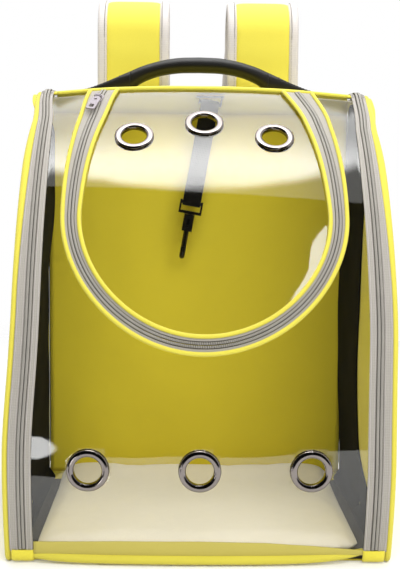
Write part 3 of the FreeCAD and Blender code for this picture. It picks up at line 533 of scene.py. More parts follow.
def ribbed(name, colour, pitch, roughness=0.7, contrast=0.25, cross=rib_cross, strength=0.55, sheen=0.15):
    """Tape and webbing: ribs along its length with a finer cross yarn."""
    paint = Paint(name)
    vector = paint.cloth()
    split = paint.node("ShaderNodeSeparateXYZ", {"Vector": vector})
    rib = paint.ripple(split.outputs[0], pitch)
    pick = paint.ripple(split.outputs[1], cross)
    yarn = paint.noise(vector, 900.0, 2.0)
    slow = paint.noise(vector, 20.0, 3.0)
    height = paint.total((rib, 0.7), (pick, 0.5))
    tone = paint.total((height, 0.4), (yarn, 0.25), (slow, 0.3))
    shade = paint.blend(tone, tint(colour, 1 - contrast), tint(colour, 1 + contrast * 0.5))
    normal = paint.bump(height, strength, rib_relief)
    rough = paint.spread(yarn, roughness - 0.06, roughness + 0.12)
    return paint.finish(Base_Color=shade, Roughness=rough, Normal=normal, Sheen_Weight=sheen,
                        Specular_IOR_Level=0.3)


def moulded(name, colour, roughness=0.4, grain=1500.0, strength=0.15, metal=0.0, contrast=0.15):
    """Plastic, nylon or satin metal with a fine grain and rubbed patches."""
    paint = Paint(name)
    vector = paint.place()
    fine = paint.noise(vector, grain, 2.0)
    patch = paint.noise(vector, 60.0, 4.0, 0.6)
    shade = paint.blend(patch, tint(colour, 1 - contrast), tint(colour, 1 + contrast))
    rough = paint.math("ADD", paint.spread(patch, roughness - 0.08, roughness + 0.08),
                       paint.math("MULTIPLY", fine, 0.06))
    normal = paint.bump(fine, strength, grain_relief)
    return paint.finish(Base_Color=shade, Roughness=rough, Normal=normal, Metallic=metal,
                        Specular_IOR_Level=0.5)


def spacer_mesh(name, colour, pitch, sheen=0.1, specular=0.2):
    """Knitted mesh with round holes in staggered rows, the holes painted dark as shade rather than cut
    through.
    """
    paint = Paint(name)
    vector = paint.cloth()
    split = paint.node("ShaderNodeSeparateXYZ", {"Vector": vector})
    holes = paint.checks("MAXIMUM", split.outputs[0], split.outputs[1], pitch)
    hole_depth_and_shade = paint.spread(holes, 1.0, 0.0, 0.35, 0.75)
    yarn = paint.noise(vector, 1100.0, 2.0)
    # Painted shade: the colour drops to a fifth of the mesh colour in the holes
    shade = paint.blend(hole_depth_and_shade, tint(colour, 0.18), tint(colour, 1.1))
    height = paint.math("ADD", hole_depth_and_shade, paint.math("MULTIPLY", yarn, 0.25))
    normal = paint.bump(height, 0.7, knit_relief)
    rough = paint.spread(yarn, 0.75, 0.95)
    return paint.finish(Base_Color=shade, Roughness=rough, Normal=normal, Sheen_Weight=sheen,
                        Specular_IOR_Level=specular)


def plush(name, colour):
    """Short pile with soft clumps."""
    paint = Paint(name)
    vector = paint.place()
    pile = paint.noise(vector, 850.0, 3.0, 0.7)
    clump = paint.noise(vector, 90.0, 4.0, 0.6)
    slow = paint.noise(vector, 9.0, 2.0)
    tone = paint.total((pile, 0.4), (clump, 0.35), (slow, 0.25))
    shade = paint.blend(tone, tint(colour, 0.84), tint(colour, 1.08))
    height = paint.math("ADD", pile, paint.math("MULTIPLY", clump, 1.5))
    normal = paint.bump(height, 0.45, pile_relief)
    rough = paint.spread(pile, 0.85, 1.0)
    return paint.finish(Base_Color=shade, Roughness=rough, Normal=normal, Sheen_Weight=0.5,
                        Sheen_Roughness=0.5, Specular_IOR_Level=0.15)


def clear_vinyl(name):
    """Clear sheet: mirrors more at a slant and passes the rest with a faint tint; smears dull its gloss."""
    paint = Paint(name)
    vector = paint.place()
    smear = paint.noise(vector, 22.0, 4.0, 0.6)
    fine = paint.noise(vector, 260.0, 2.0)
    normal = paint.bump(paint.math("ADD", smear, paint.math("MULTIPLY", fine, 0.02)), 0.03, smear_relief)
    facing = paint.node("ShaderNodeLayerWeight", {"Blend": 0.5}).outputs["Facing"]
    slant = paint.math("POWER", facing, 5.0)
    mirror = paint.math("MULTIPLY_ADD", slant, 0.955, 0.045)
    rough = paint.spread(smear, 0.015, 0.05, 0.3, 0.7)
    gloss = paint.node("ShaderNodeBsdfGlossy", {"Color": (1, 1, 1, 1), "Roughness": rough, "Normal": normal})
    clear = paint.node("ShaderNodeBsdfTransparent", {"Color": (0.985, 0.985, 0.975, 1)})
    mix = paint.node("ShaderNodeMixShader", {0: mirror, 1: clear.outputs[0], 2: gloss.outputs[0]})
    return paint.output(mix.outputs[0])


def polished(name, colour, roughness):
    """Plated metal with hairlines and a few dull spots."""
    paint = Paint(name)
    vector = paint.place()
    line = paint.node("ShaderNodeMapping", {"Vector": vector, "Scale": (400.0, 400.0, 3000.0)}).outputs[0]
    hair = paint.noise(line, 1.0, 2.0)
    patch = paint.noise(vector, 120.0, 4.0, 0.6)
    shade = paint.blend(patch, tint(colour, 0.9), tint(colour, 1.06))
    rough = paint.math("ADD", paint.spread(patch, roughness * 0.7, roughness * 1.5),
                       paint.math("MULTIPLY", hair, 0.04))
    normal = paint.bump(hair, 0.04, hair_relief)
    return paint.finish(Base_Color=shade, Roughness=rough, Normal=normal, Metallic=1.0)


yellow = rgb(240, 226, 78)
yellow_cloth = woven("yellow_cloth", yellow, cloth_thread)
yellow_lining = woven("yellow_lining", rgb(240, 221, 62), lining_thread, contrast=0.1, strength=0.3)
yellow_strap = woven("yellow_strap", rgb(233, 220, 85), strap_thread)
yellow_bias = woven("yellow_bias", rgb(223, 211, 80), bias_thread, contrast=0.14, strength=0.35, slant=True)
# The base band's yellow is darker and greyer than the cloth: painted shade for the low, downward-facing band
shaded_yellow_band = woven("shaded_yellow_band", rgb(200, 187, 96), cloth_thread, roughness=0.85, sheen=0.1)
yellow_thread = woven("yellow_thread", rgb(226, 210, 70), sewing_thread, roughness=0.6)
grey_thread = woven("grey_thread", rgb(196, 190, 184), sewing_thread, roughness=0.6)
black_thread = woven("black_thread", rgb(40, 38, 36), sewing_thread, roughness=0.55)
tape_grey = ribbed("tape_grey", rgb(168, 163, 154), tape_rib)
coil_nylon = moulded("coil_nylon", rgb(150, 146, 138), roughness=0.5)
# Dark strips under the zip coils are painted shade: they darken the gaps beside and between the teeth
shade_strip_dark = ribbed("shade_strip_dark", rgb(84, 80, 74), shade_strip_rib)
vinyl = clear_vinyl("vinyl")
nickel = polished("nickel", rgb(138, 131, 128), 0.1)
zinc = moulded("zinc", rgb(150, 142, 148), roughness=0.5, metal=0.2, strength=0.1)
black_net = spacer_mesh("black_net", rgb(9, 9, 8), side_net_pitch, sheen=0.02, specular=0.1)
grey_net = spacer_mesh("grey_net", rgb(112, 108, 106), pad_net_pitch)
cream_plush = plush("cream_plush", rgb(243, 236, 220))
handle_skin = moulded("handle_skin", rgb(13, 12, 11), roughness=0.46, grain=2200.0, strength=0.3)
black_webbing = ribbed("black_webbing", rgb(14, 13, 13), webbing_rib)
grey_webbing = ribbed("grey_webbing", rgb(128, 125, 122), webbing_rib)
binding_tape = ribbed("binding_tape", rgb(214, 208, 204), binding_rib, contrast=0.14)
hook_black = moulded("hook_black", rgb(14, 13, 13), roughness=0.3, strength=0.1)
buckle_black = moulded("buckle_black", rgb(38, 38, 38), roughness=0.42, strength=0.25)
board_dark = moulded("board_dark", rgb(46, 44, 41), roughness=0.8, strength=0.3)

cad_paints = {
    board_dark: ("base_board", "back_board"),
    zinc: ("door_slider", "door_pull", "side_slider_left", "side_slider_right", "side_pull_left",
           "side_pull_right"),
    hook_black: ("hook_swivel", "hook_body", "hook_bolt"),
    buckle_black: ("ladder_lock_left", "ladder_lock_right"),
}
for paint, names in cad_paints.items():
    for name in names:
        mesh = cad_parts[name].data
        mesh.materials.clear()
        mesh.materials.append(paint)

# Clear sheets
ripples = ((0.22 * mm, 190 * mm, 230 * mm, 0.4, 1.1), (0.09 * mm, 113 * mm, 131 * mm, 2.1, 0.3),
           (0.02 * mm, 57 * mm, 71 * mm, 4.0, 2.2))
wave_hold = 26 * mm


def wave(x, s):
    """Slow waves in the clear sheet, dying out where it is sewn."""
    total = 0.0
    for size, wide, long, a, b in ripples:
        total = total + size * np.sin(turn * x / wide + a) * np.sin(turn * s / long + b)
    at_door = smooth(np.abs(door_spread(x, up_of(s))) / wave_hold - 0.4)
    hold = at_door * smooth((trim_half - np.abs(x)) / wave_hold)
    return total * hold * smooth((s_seam - s) / wave_hold) * smooth((s - s_foot) / wave_hold)


sheet_foot = 10 * mm
sheet_seam_gap = 1.5 * mm
sheet_sink = 0.2 * mm
hole_slack = 0.2 * mm
door_first_row = 0.05 * mm
lower_eyelet_spacing = 96 * mm
lower_eyelet_height = 89 * mm
upper_eyelet_spacing = 67 * mm
upper_side_height = 379 * mm
upper_middle_height = 391.5 * mm
eyelet_hole = 12.2 * mm
eyelet_outer = 18.7 * mm
sheet_hole = 13.6 * mm
lower_eyelets = [(side * lower_eyelet_spacing, s_at(lower_eyelet_height)) for side in (-1, 0, 1)]
upper_eyelets = [(-upper_eyelet_spacing, s_at(upper_side_height)), (0.0, s_at(upper_middle_height)),
                 (upper_eyelet_spacing, s_at(upper_side_height))]


def sheet_part(x, s, faces, holes):
    """A clear sheet from a grid of places, with holes for its eyelets."""
    places = np.stack([x.ravel(), s.ravel()], -1)
    kept = []
    for face in faces:
        middle = places[list(face)].mean(0)
        if all(math.dist(middle, hole) > sheet_hole for hole in holes):
            kept.append(face)
    for hole in holes:
        away = places - hole
        distance = np.linalg.norm(away, axis=1)
        near = distance < sheet_hole + hole_slack
        outward = away[near] / np.clip(distance[near], 1e-6, None)[:, None]
        places[near] = np.array(hole) + outward * sheet_hole
    used = sorted({i for face in kept for i in face})
    number = {old: new for new, old in enumerate(used)}
    kept = [tuple(number[i] for i in face) for face in kept]
    places = places[used]
    verts = surface(places[:, 0], places[:, 1], wave(places[:, 0], places[:, 1]) - sheet_sink)
    coords = np.vstack([places[list(face)] for face in kept])
    return verts, kept, coords


s_sheet_low = s_at(sheet_foot)
s_sheet_high = s_seam - sheet_seam_gap
s_door_low = float(s_of(-door_radius - door_sheet_edge))
low_rows = np.linspace(s_sheet_low, s_door_low, 34)
rise = np.linspace(0, 1, 64) ** 1.5
high_rows = s_door_low + (s_sheet_high - s_door_low) * rise[1:]
half_columns = 26
shares = np.linspace(0, 1, half_columns + 1)
rows_s, rows_left, rows_right = [], [], []
for s in np.concatenate([low_rows, high_rows]):
    open_half = float(door_half(up_of(s), door_sheet_edge)) if s > s_door_low else 0.0
    rows_s.append(s)
    rows_left.append(-sheet_half + (sheet_half - open_half) * shares)
    rows_right.append(open_half + (sheet_half - open_half) * shares)
row_count = len(rows_s)
x = np.hstack([np.array(rows_left), np.array(rows_right)])
s = np.repeat(np.array(rows_s)[:, None], x.shape[1], 1)
width = x.shape[1]
faces = []
for row in range(row_count - 1):
    for column in range(width - 1):
        if column == half_columns:
            continue
        first = row * width + column
        faces.append((first, first + 1, first + 1 + width, first + width))
joined = {row * width + half_columns + 1: row * width + half_columns for row in range(len(low_rows))}
faces = [tuple(joined.get(i, i) for i in face) for face in faces]
part = sheet_part(x, s, faces, lower_eyelets)
thicken(make("front_sheet_clear", part, vinyl, "bag", ["front_sheet"]), sheet_thickness)

fall = np.linspace(0, 1, 70) ** 1.6
s_inner_low = float(s_of(-door_radius + door_sheet_edge)) + door_first_row
door_rows = s_inner_low + (s_sheet_high - s_inner_low) * fall
door_x = np.stack([np.linspace(-1, 1, 53) * float(door_half(up_of(s), -door_sheet_edge)) for s in door_rows])
door_s = np.repeat(door_rows[:, None], door_x.shape[1], 1)
_, faces, _ = grid(np.stack([door_x, door_s, door_s], -1))
part = sheet_part(door_x, door_s, faces, upper_eyelets)
thicken(make("door_sheet_clear", part, vinyl, "door", ["door_sheet"]), sheet_thickness)


# Eyelets: a rolled flange with a barrel through the sheet, and the washer behind it
def lathe(section, x, s, count=48):
    """A section turned round the skin's normal at a place."""
    normal = surface_normal(x, s)
    side = np.cross(normal, upward)
    side /= np.linalg.norm(side)
    up = np.cross(side, normal)
    angles = np.linspace(0, turn, count, endpoint=False)
    ring = side[None] * np.cos(angles)[:, None] + up[None] * np.sin(angles)[:, None]
    middle = surface(x, s)[None, None]
    points = middle + ring[:, None] * section[None, :, :1] + normal * section[None, :, 1:]
    return grid(points, wrap_rows=True, wrap_columns=True)


flange_lift = 0.3 * mm
flange_lip = 0.4 * mm
flange_seat = 0.05 * mm
barrel_wall = 0.9 * mm
barrel_depth = 3.2 * mm
roll = np.linspace(math.pi, 0, 14)
dome_heights = {"lower": 2.3 * mm, "upper": 1.4 * mm}
flange_mid = (eyelet_hole + eyelet_outer) / 2
flange_half = (eyelet_outer - eyelet_hole) / 2


def eyelet_section(dome):
    flange = np.stack([flange_mid + flange_half * np.cos(roll), flange_lift + dome * np.sin(roll)], -1)
    barrel_outer = eyelet_hole + barrel_wall
    barrel = [[eyelet_outer - flange_lip, flange_seat], [barrel_outer, flange_seat],
              [barrel_outer, -barrel_depth], [eyelet_hole, -barrel_depth]]
    return np.vstack([flange, barrel])


washer_section = np.array([[13.3, -2.3], [16.5, -1.9], [18.8, -2.2],
                           [18.8, -2.9], [16.5, -2.7], [13.3, -3.0]]) * mm
for name, places, body in (("lower", lower_eyelets, "bag"), ("upper", upper_eyelets, "door")):
    rings = combine([lathe(eyelet_section(dome_heights[name]), *place) for place in places])
    make(f"{name}_eyelets_rolled", rings, nickel, body, [f"{name}_eyelets"])
    rings = combine([lathe(washer_section, *place) for place in places])
    make(f"{name}_washers_plate", rings, nickel, body, [f"{name}_washers"])


# Zips
tooth_reach = 2.5 * mm
tooth_half = 0.86 * mm
tooth_high = 0.9 * mm
tooth_gap = 0.3 * mm
coil_lift = 1.75 * mm
tape_high = 0.42 * mm
tape_lift = 0.45 * mm
tape_stitch_start = 1.2 * mm
tape_stitch_margin = 1.4 * mm
tape_stitch_lift = 0.9 * mm
# Size of the dark strip under each side coil, which is painted shade in the gaps beside the teeth
shade_strip_half = 3.6 * mm
shade_strip_high = 0.3 * mm
shade_strip_lift = 0.35 * mm
zip_foot_height = 13 * mm
zip_tail = 70 * mm
tape_wide_height = 250 * mm
tape_slim_height = 340 * mm
tape_crest_gap = 12 * mm
tooth_pitch = 2.1 * mm


def coil_part(path, normals, hand):
    """One half of a coil: bars from the tape to the middle of the zip."""
    both = resample(np.hstack([path, normals]), tooth_pitch)
    both = both + (np.gradient(both, axis=0) * (0.5 if hand > 0 else 0.0))
    sides, ups, tangents = frames(both[:, :3], both[:, 3:])
    verts, faces = spindle(tooth_reach, tooth_half, tooth_high, sides=7)
    verts = verts[:, [1, 0, 2]] + np.array([hand * (tooth_reach / 2 + tooth_gap), 0, 0])
    return scatter(verts, [face[::-1] for face in faces], both[:, :3], sides, ups, tangents)


s_zip_foot = s_at(zip_foot_height)
s_zip_end = s_rear + zip_tail
zip_rows = np.linspace(s_zip_foot, s_zip_end, 240)
tape_gap = 3.2 * mm
tape_stations = np.array([s_at(tape_wide_height), s_at(tape_slim_height), s_seam - tape_crest_gap, s_crest,
                          s_rear])
outer_reaches = np.array([11.0, 8.8, 6.4, 6.4, 9.8]) * mm
inner_reaches = np.array([9.4, 8.8, 6.4, 6.4, 9.8]) * mm
zip_normals = profile_normals(zip_rows)
for hand, side in ((1, "right"), (-1, "left")):
    tapes, coils, threads = [], [], []
    for edge in (-1, 1):
        reach = np.interp(zip_rows, tape_stations, outer_reaches if edge == hand else inner_reaches)
        half = (reach - tape_gap) / 2
        middle = hand * zip_x + edge * (reach + tape_gap) / 2
        section = np.stack([rounded(value, tape_high, 14, 5) for value in half])
        tapes.append(sweep(surface(middle, zip_rows, tape_lift), zip_normals, section))
        line = surface(hand * zip_x, zip_rows[1:], coil_lift)
        coils.append(coil_part(line, zip_normals[1:], edge))
        for offset in (tape_gap + tape_stitch_start, reach - tape_stitch_margin):
            line = surface(hand * zip_x + edge * offset, zip_rows, tape_stitch_lift)
            threads.append(stitch_part(line, zip_normals, zip_stitch))
    make(f"side_tapes_{side}_woven", combine(tapes), tape_grey, "bag", [f"side_tapes_{side}"])
    # A dark strip under the coil: painted shade showing beside and between its teeth
    line = surface(hand * zip_x, zip_rows, shade_strip_lift)
    shade_strip = sweep(line, zip_normals, rounded(shade_strip_half, shade_strip_high, 12, 5))
    make(f"side_tapes_{side}_gutter", shade_strip, shade_strip_dark, "bag")
    make(f"side_coils_{side}_teeth", combine(coils), coil_nylon, "bag", [f"side_coils_{side}"])
    make(f"side_tapes_{side}_stitches", combine(threads), grey_thread, "bag")


door_step = 3.5 * mm
door_seam_gap = 2.7 * mm
door_tape_lift = 0.8 * mm
door_tape_thickness = 0.7 * mm
# The door coil's dark strip below is painted shade too
door_shade_strip_offset = 1.7 * mm
door_shade_strip_half = 1.75 * mm
door_shade_strip_lift = 0.3 * mm
door_bead_offset = 1.0 * mm
door_bead_lift = 2.0 * mm
door_bead_half = 2.0 * mm
door_bead_high = 1.9 * mm
door_stitch_margin = 1.9 * mm
door_stitch_lift = 0.95 * mm


def door_line(spread_of, lift):
    """Points and normals along the door's outline, spread and lifted."""
    top_up = float(up_of(s_seam - door_seam_gap))
    limb = np.linspace(top_up, 0, 120)[:-1]
    low = np.linspace(quarter, -quarter, 200)
    up = np.concatenate([limb, -door_radius * np.cos(low), limb[::-1]])
    sign = np.concatenate([-np.ones(len(limb)), -np.sin(low), np.ones(len(limb))])
    spread = spread_of(up)
    angle = np.concatenate([np.zeros(len(limb)), low, np.zeros(len(limb))])
    round_x = -(door_radius + spread) * np.sin(angle)
    round_up = -(door_radius + spread) * np.cos(angle)
    limb_half = np.sqrt((limb_radius + spread) ** 2 - up ** 2) - limb_offset
    bottom = (np.arange(len(up)) >= len(limb)) & (np.arange(len(up)) < len(limb) + len(low))
    x = np.where(bottom, round_x, np.sign(sign) * limb_half)
    up = np.where(bottom, round_up, up)
    places = resample(np.stack([x, s_of(up)], -1), door_step)
    return surface(places[:, 0], places[:, 1], lift), surface_normal(places[:, 0], places[:, 1])


def band_half(up):
    return np.interp(up, band_ups, band_halves)


for hand, side, body in ((1, "outer", "bag"), (-1, "inner", "door")):
    line, line_normals = door_line(lambda up: 0 * up, coil_lift)
    rows = [door_line(lambda up, t=t: hand * (tape_gap + t * (band_half(up) - tape_gap)), door_tape_lift)[0]
            for t in np.linspace(0, 1, 6)]
    count = min(len(row) for row in rows)
    lengths = [np.linalg.norm(np.diff(row, axis=0), axis=1).sum() for row in rows]
    rows = [resample(row, length / (count - 1))[:count] for row, length in zip(rows, lengths)]
    points = np.stack(rows, 1)
    # A dark strip under the door coil: painted shade beside its teeth
    strip, strip_normals = door_line(lambda up: 0 * up + hand * door_shade_strip_offset, door_shade_strip_lift)
    shade_strip = sweep(strip, strip_normals, rounded(door_shade_strip_half, shade_strip_high, 12, 5))
    make(f"door_tape_{side}_gutter", shade_strip, shade_strip_dark, body)
    tape = grid(points if hand < 0 else points[:, ::-1])
    tape = make(f"door_tape_{side}_woven", tape, tape_grey, body, [f"door_tape_{side}"])
    thicken(tape, door_tape_thickness)
    make(f"door_coil_{side}_teeth", coil_part(line, line_normals, -hand), coil_nylon, body,
         [f"door_coil_{side}"])
    bead, bead_normals = door_line(lambda up: hand * (band_half(up) + door_bead_offset), door_bead_lift)
    bead = sweep(bead, bead_normals, rounded(door_bead_half, door_bead_high, 14))
    make(f"door_piping_{side}_bead", bead, yellow_bias, body, [f"door_piping_{side}"])
    seam, seam_normals = door_line(lambda up: hand * (band_half(up) - door_stitch_margin), door_stitch_lift)
    threads = stitch_part(seam, seam_normals, zip_stitch)
    make(f"door_tape_{side}_stitches", threads, grey_thread, body)

# Fabric skins that follow the profile
fold_wide = 146 * mm
fold_long = 118 * mm
fine_fold_wide = 61 * mm
fine_fold_long = 207 * mm
top_seam_gap = 2.0 * mm
top_rear_gap = 0.2 * mm
top_sink = 0.2 * mm
top_swell = 0.4 * mm
top_crease = 0.3 * mm
back_crease = 0.35 * mm
back_cut_share = 0.5
base_cut_share = 0.52
skin_thickness = 1.4 * mm


def skin_part(x_half, s_from, s_to, lift, columns, rows, swell=0.0, crease=0.0, seed=0.0):
    """A fabric skin between two places along the profile, with a faint swell and slow creases."""
    xs = np.linspace(-x_half, x_half, columns)[None, :]
    ss = np.linspace(s_from, s_to, rows)[:, None]
    share = (ss - s_from) / (s_to - s_from)
    hold = np.clip(4 * share * (1 - share), 0, 1) ** 0.5 * np.clip(1 - (xs / x_half) ** 4, 0, 1)
    folds = np.sin(turn * xs / fold_wide + 3 * share + seed) * np.sin(turn * ss / fold_long + seed)
    fine = np.sin(turn * xs / fine_fold_wide + 2 * seed) * np.sin(turn * ss / fine_fold_long + 1.3 * seed)
    folds = folds + 0.5 * fine
    return grid(surface(xs, ss, lift + (swell + crease * folds) * hold))


top_start = s_seam + top_seam_gap
s_top_cut = s_top - top_rear_gap
s_back_cut = s_back + back_cut_share * (s_heel - s_back)
s_base_cut = s_back + base_cut_share * (s_heel - s_back)
pieces = (
    ("top_panel", skin_part(sheet_half, top_start, s_top_cut, -top_sink, 41, 30, top_swell, top_crease, 1.0)),
    ("back_panel", skin_part(shell_half, s_top, s_back_cut, 0.0, 41, 80, 0.0, back_crease, 2.0)),
    ("base_panel", skin_part(shell_half, s_base_cut, s_end, 0.0, 41, 50, 0.0, 0.0, 3.0)),
)
for node, part in pieces:
    thicken(make(f"{node}_cloth", part, yellow_cloth, "bag", [node]), skin_thickness)

lining_inset = 1 * mm
lining_face = 125.6 * mm
lining_crease = 1.1 * mm
lining_thickness = 0.8 * mm
lining_wide = 171 * mm
lining_long = 239 * mm
lining_fine_wide = 93 * mm
lining_fine_long = 141 * mm
lining_twist = 100 * mm
lining_half = shell_half - lining_inset
lining_low = 9 * mm
lining_high = 410 * mm
lining_x = np.linspace(-lining_half, lining_half, 61)[None, :]
lining_z = np.linspace(lining_low, lining_high, 73)[:, None]
lining_fine = np.sin(turn * lining_x / lining_fine_wide + lining_z / lining_twist)
lining_fine = lining_fine * np.sin(turn * lining_z / lining_fine_long)
lining_fold = np.sin(turn * lining_x / lining_wide + 0.7) * np.sin(turn * lining_z / lining_long + 0.4)
lining_fold = lining_fold + 0.5 * lining_fine
lining_hold = np.clip(1 - (lining_x / shell_half) ** 6, 0, 1) * np.ones_like(lining_z)
lining_y = lining_face - (0.8 + lining_fold) * lining_crease * lining_hold
lining_points = np.stack(np.broadcast_arrays(lining_x, lining_y, lining_z), -1)
lining = grid(lining_points)
lining = make("back_lining_cloth", lining, yellow_lining, "bag", ["back_lining"])
thicken(lining, lining_thickness)

# Base band, its piping and the tabs at the feet of the side zips
band_foot = 9 * mm
band_stand = 0.6 * mm
band_swell = 1.0 * mm
band_thickness = 1.0 * mm
bead_overhang = 1 * mm
bead_place_share = 0.62
bead_back = 2.5 * mm
bead_forward = 2.6 * mm
bead_height = 6.2 * mm
bead_rise_left = 2.0 * mm
bead_rise_right = 5.0 * mm
bead_radius = 4.4 * mm
bead_slim_left = 0.6 * mm
bead_slim_right = 1.6 * mm
tab_start_share = 0.6
tab_top = 13.5 * mm
tab_half = 9.9 * mm
tab_thin = 1.0 * mm
tab_swell = 1.1 * mm
tab_lift = 0.6 * mm
band_x = np.linspace(-trim_half, trim_half, 81)
band_shares = np.array([-1.0, -0.5, 0.0, 0.4, 0.7, 1.0])
band_tops = np.array([21.5, 23.5, 24.0, 22.5, 19.0, 14.0]) * mm
band_low = s_at(band_foot)
band_top = np.array([s_at(height) for height in np.interp(band_x / trim_half, band_shares, band_tops)])
band_share = np.linspace(0, 1, 12)
band_s = band_low + (band_top - band_low)[None, :] * band_share[:, None]
band_lift = band_stand + band_swell * np.sin(math.pi * band_share[:, None] ** 0.8) + 0 * band_x[None, :]
band = grid(surface(band_x[None, :], band_s, band_lift))
# The band's darker yellow is painted shade
band = make("base_band_cloth", band, shaded_yellow_band, "bag", ["base_band"])
thicken(band, band_thickness)
bead_x = np.linspace(-trim_half - bead_overhang, trim_half + bead_overhang, 91)
bead_left = np.clip(-bead_x / trim_half, 0, None) ** 8
bead_right = np.clip(bead_x / trim_half, 0, None) ** 6
bead_path = surface(bead_x, s_foot * bead_place_share)
bead_path[:, 1] += bead_back * (bead_left + bead_right) - bead_forward
bead_path[:, 2] = bead_height + bead_rise_left * bead_left + bead_rise_right * bead_right
bead_up = np.tile([0.0, -0.5, 0.87], (len(bead_x), 1))
bead_radii = bead_radius - bead_slim_left * bead_left - bead_slim_right * bead_right
bead_sections = np.stack([rounded(value, value, 16) for value in bead_radii])
make("base_piping_bead", sweep(bead_path, bead_up, bead_sections), yellow_bias, "bag",
     ["base_piping"])
tabs = []
for hand in (1, -1):
    tab_s = np.linspace(s_foot * tab_start_share, s_at(tab_top), 14)
    tab_share = np.linspace(0, 1, 14)
    tab_highs = tab_thin + tab_swell * np.sin(math.pi * tab_share)
    section = np.stack([rounded(tab_half, high, 16, 3.5) for high in tab_highs])
    tabs.append(sweep(surface(hand * zip_x, tab_s, tab_lift), profile_normals(tab_s), section))
make("zip_end_tabs_folded", combine(tabs), yellow_cloth, "bag", ["zip_end_tabs"])

# Top piping
top_bead_lift = 0.6 * mm
top_bead_radius = 1.9 * mm
top_x = np.linspace(-trim_half, trim_half, 81)
top_path = surface(top_x, s_seam, top_bead_lift)
top_up = surface_normal(top_x, np.full_like(top_x, s_seam))
top_bead = sweep(top_path, top_up, rounded(top_bead_radius, top_bead_radius, 14))
make("top_piping_bead", top_bead, yellow_bias, "bag", ["top_piping"])

# Where the side walls are pressed in, from front to back and from foot to top
right_press = 8 * mm
left_press = 9 * mm
press_front = 60 * mm
press_front_reach = 75 * mm
press_back = 112 * mm
press_back_reach = 18 * mm
right_press_low = 20 * mm
right_press_span = 390 * mm
left_press_low = 205 * mm
left_press_rise = 120 * mm
left_press_high = 385 * mm
left_press_fall = 35 * mm

# Side piping, side panels and nets
panel_face = 169 * mm
panel_swell = 1.6 * mm
panel_back = 165.2 * mm
panel_drop = 5.8 * mm
rim_face = 169.4 * mm
rim_offset = 0.6 * mm
rim_half = 2.6 * mm
rim_high = 1.9 * mm
rim_stitch_offset = 5.2 * mm
rim_stitch_face = 170.55 * mm
side_bead_drop = 3 * mm
net_drop = 4.6 * mm
net_front = 118 * mm
net_back = 124.4 * mm
net_step = 84 * mm
net_step_drop = 58 * mm
net_sway = 0.5 * mm
net_sway_long = 90 * mm
net_sway_wide = 70 * mm
net_thickness = 0.5 * mm
net_x = 164.4 * mm
hem_turn = 8 * mm
hem_low = 4.6 * mm
hem_high = 9 * mm
loop_s = np.linspace(0, s_end, 420, endpoint=False)
loop_normals = profile_normals(loop_s)


def side_loop(lift):
    """y and z of the side outline, moved out by lift."""
    y, z, out_y, out_z = profile(loop_s)
    return np.stack([y + out_y * lift, z + out_z * lift], -1)


def wall_x(hand, depth, wall_y, wall_z):
    """How far out a side wall stands: it follows the leaning front, and its middle is pressed in."""
    front = 1 - smooth(wall_y / back_y)
    s = np.interp(wall_z, profile_rows[front_rows, 1], profile_s[front_rows])
    place = hand * depth + 0 * wall_y
    span = smooth((wall_y + press_front) / press_front_reach)
    span = span * (1 - smooth((wall_y - press_back) / press_back_reach))
    if hand > 0:
        high = np.sin(math.pi * np.clip((wall_z - right_press_low) / right_press_span, 0, 1)) ** 0.8
        pressed = right_press * high * span
    else:
        high = smooth((wall_z - left_press_low) / left_press_rise)
        high = high * (1 - smooth((wall_z - left_press_high) / left_press_fall))
        pressed = left_press * high * span
    return place + front * slump(place, s) - hand * pressed


lens_low_height = 240 * mm
lens_high_height = 340 * mm
lens_crest_gap = 30 * mm
lens_stations = np.array([0, s_at(lens_low_height), s_at(lens_high_height), s_seam - lens_crest_gap, s_crest,
                          s_rear, s_end])
lens_halves = np.array([3.0, 3.0, 4.5, 3.6, 2.4, 3.0, 3.0]) * mm
crest_tuck = 5 * mm
tuck_reach = 120 * mm
window_mid = np.array([61, 204]) * mm
window_half = np.array([47, 164]) * mm
window_corner = 24 * mm
station_angles = np.linspace(0, turn, 260, endpoint=False)
directions = np.stack([np.cos(station_angles), np.sin(station_angles)], -1)


def window_reach(direction):
    """Distance from the window's middle to its round-cornered edge."""
    reach = np.min(window_half / np.maximum(np.abs(direction), 1e-9))
    core = window_half - window_corner
    point = np.abs(direction) * reach
    if np.all(point > core):
        along = float(np.dot(np.abs(direction), core))
        reach = along + math.sqrt(max(0.0, along ** 2 - float(np.dot(core, core)) + window_corner ** 2))
    return reach


def outline_reach(lift):
    """Distances from the window's middle to the side outline, by direction."""
    loop = side_loop(lift) - window_mid
    angle = np.unwrap(np.arctan2(loop[:, 1], loop[:, 0]))
    if angle[-1] < angle[0]:
        angle, loop = angle[::-1], loop[::-1]
    distance = np.linalg.norm(loop, axis=1)
    angle = np.concatenate([angle, angle[:1] + turn])
    distance = np.concatenate([distance, distance[:1]])
    return np.interp((station_angles - angle[0]) % turn + angle[0], angle, distance)


outer_reach = outline_reach(-panel_drop)
inner_reach = np.array([window_reach(direction) for direction in directions])
section_share = np.linspace(0, 1, 12)


def window_ring(hand, offset, depth):
    """A ring round a window, off its edge by offset."""
    places = window_mid + directions * (inner_reach + offset)[:, None]
    return np.column_stack([wall_x(hand, depth, places[:, 0], places[:, 1]), places])


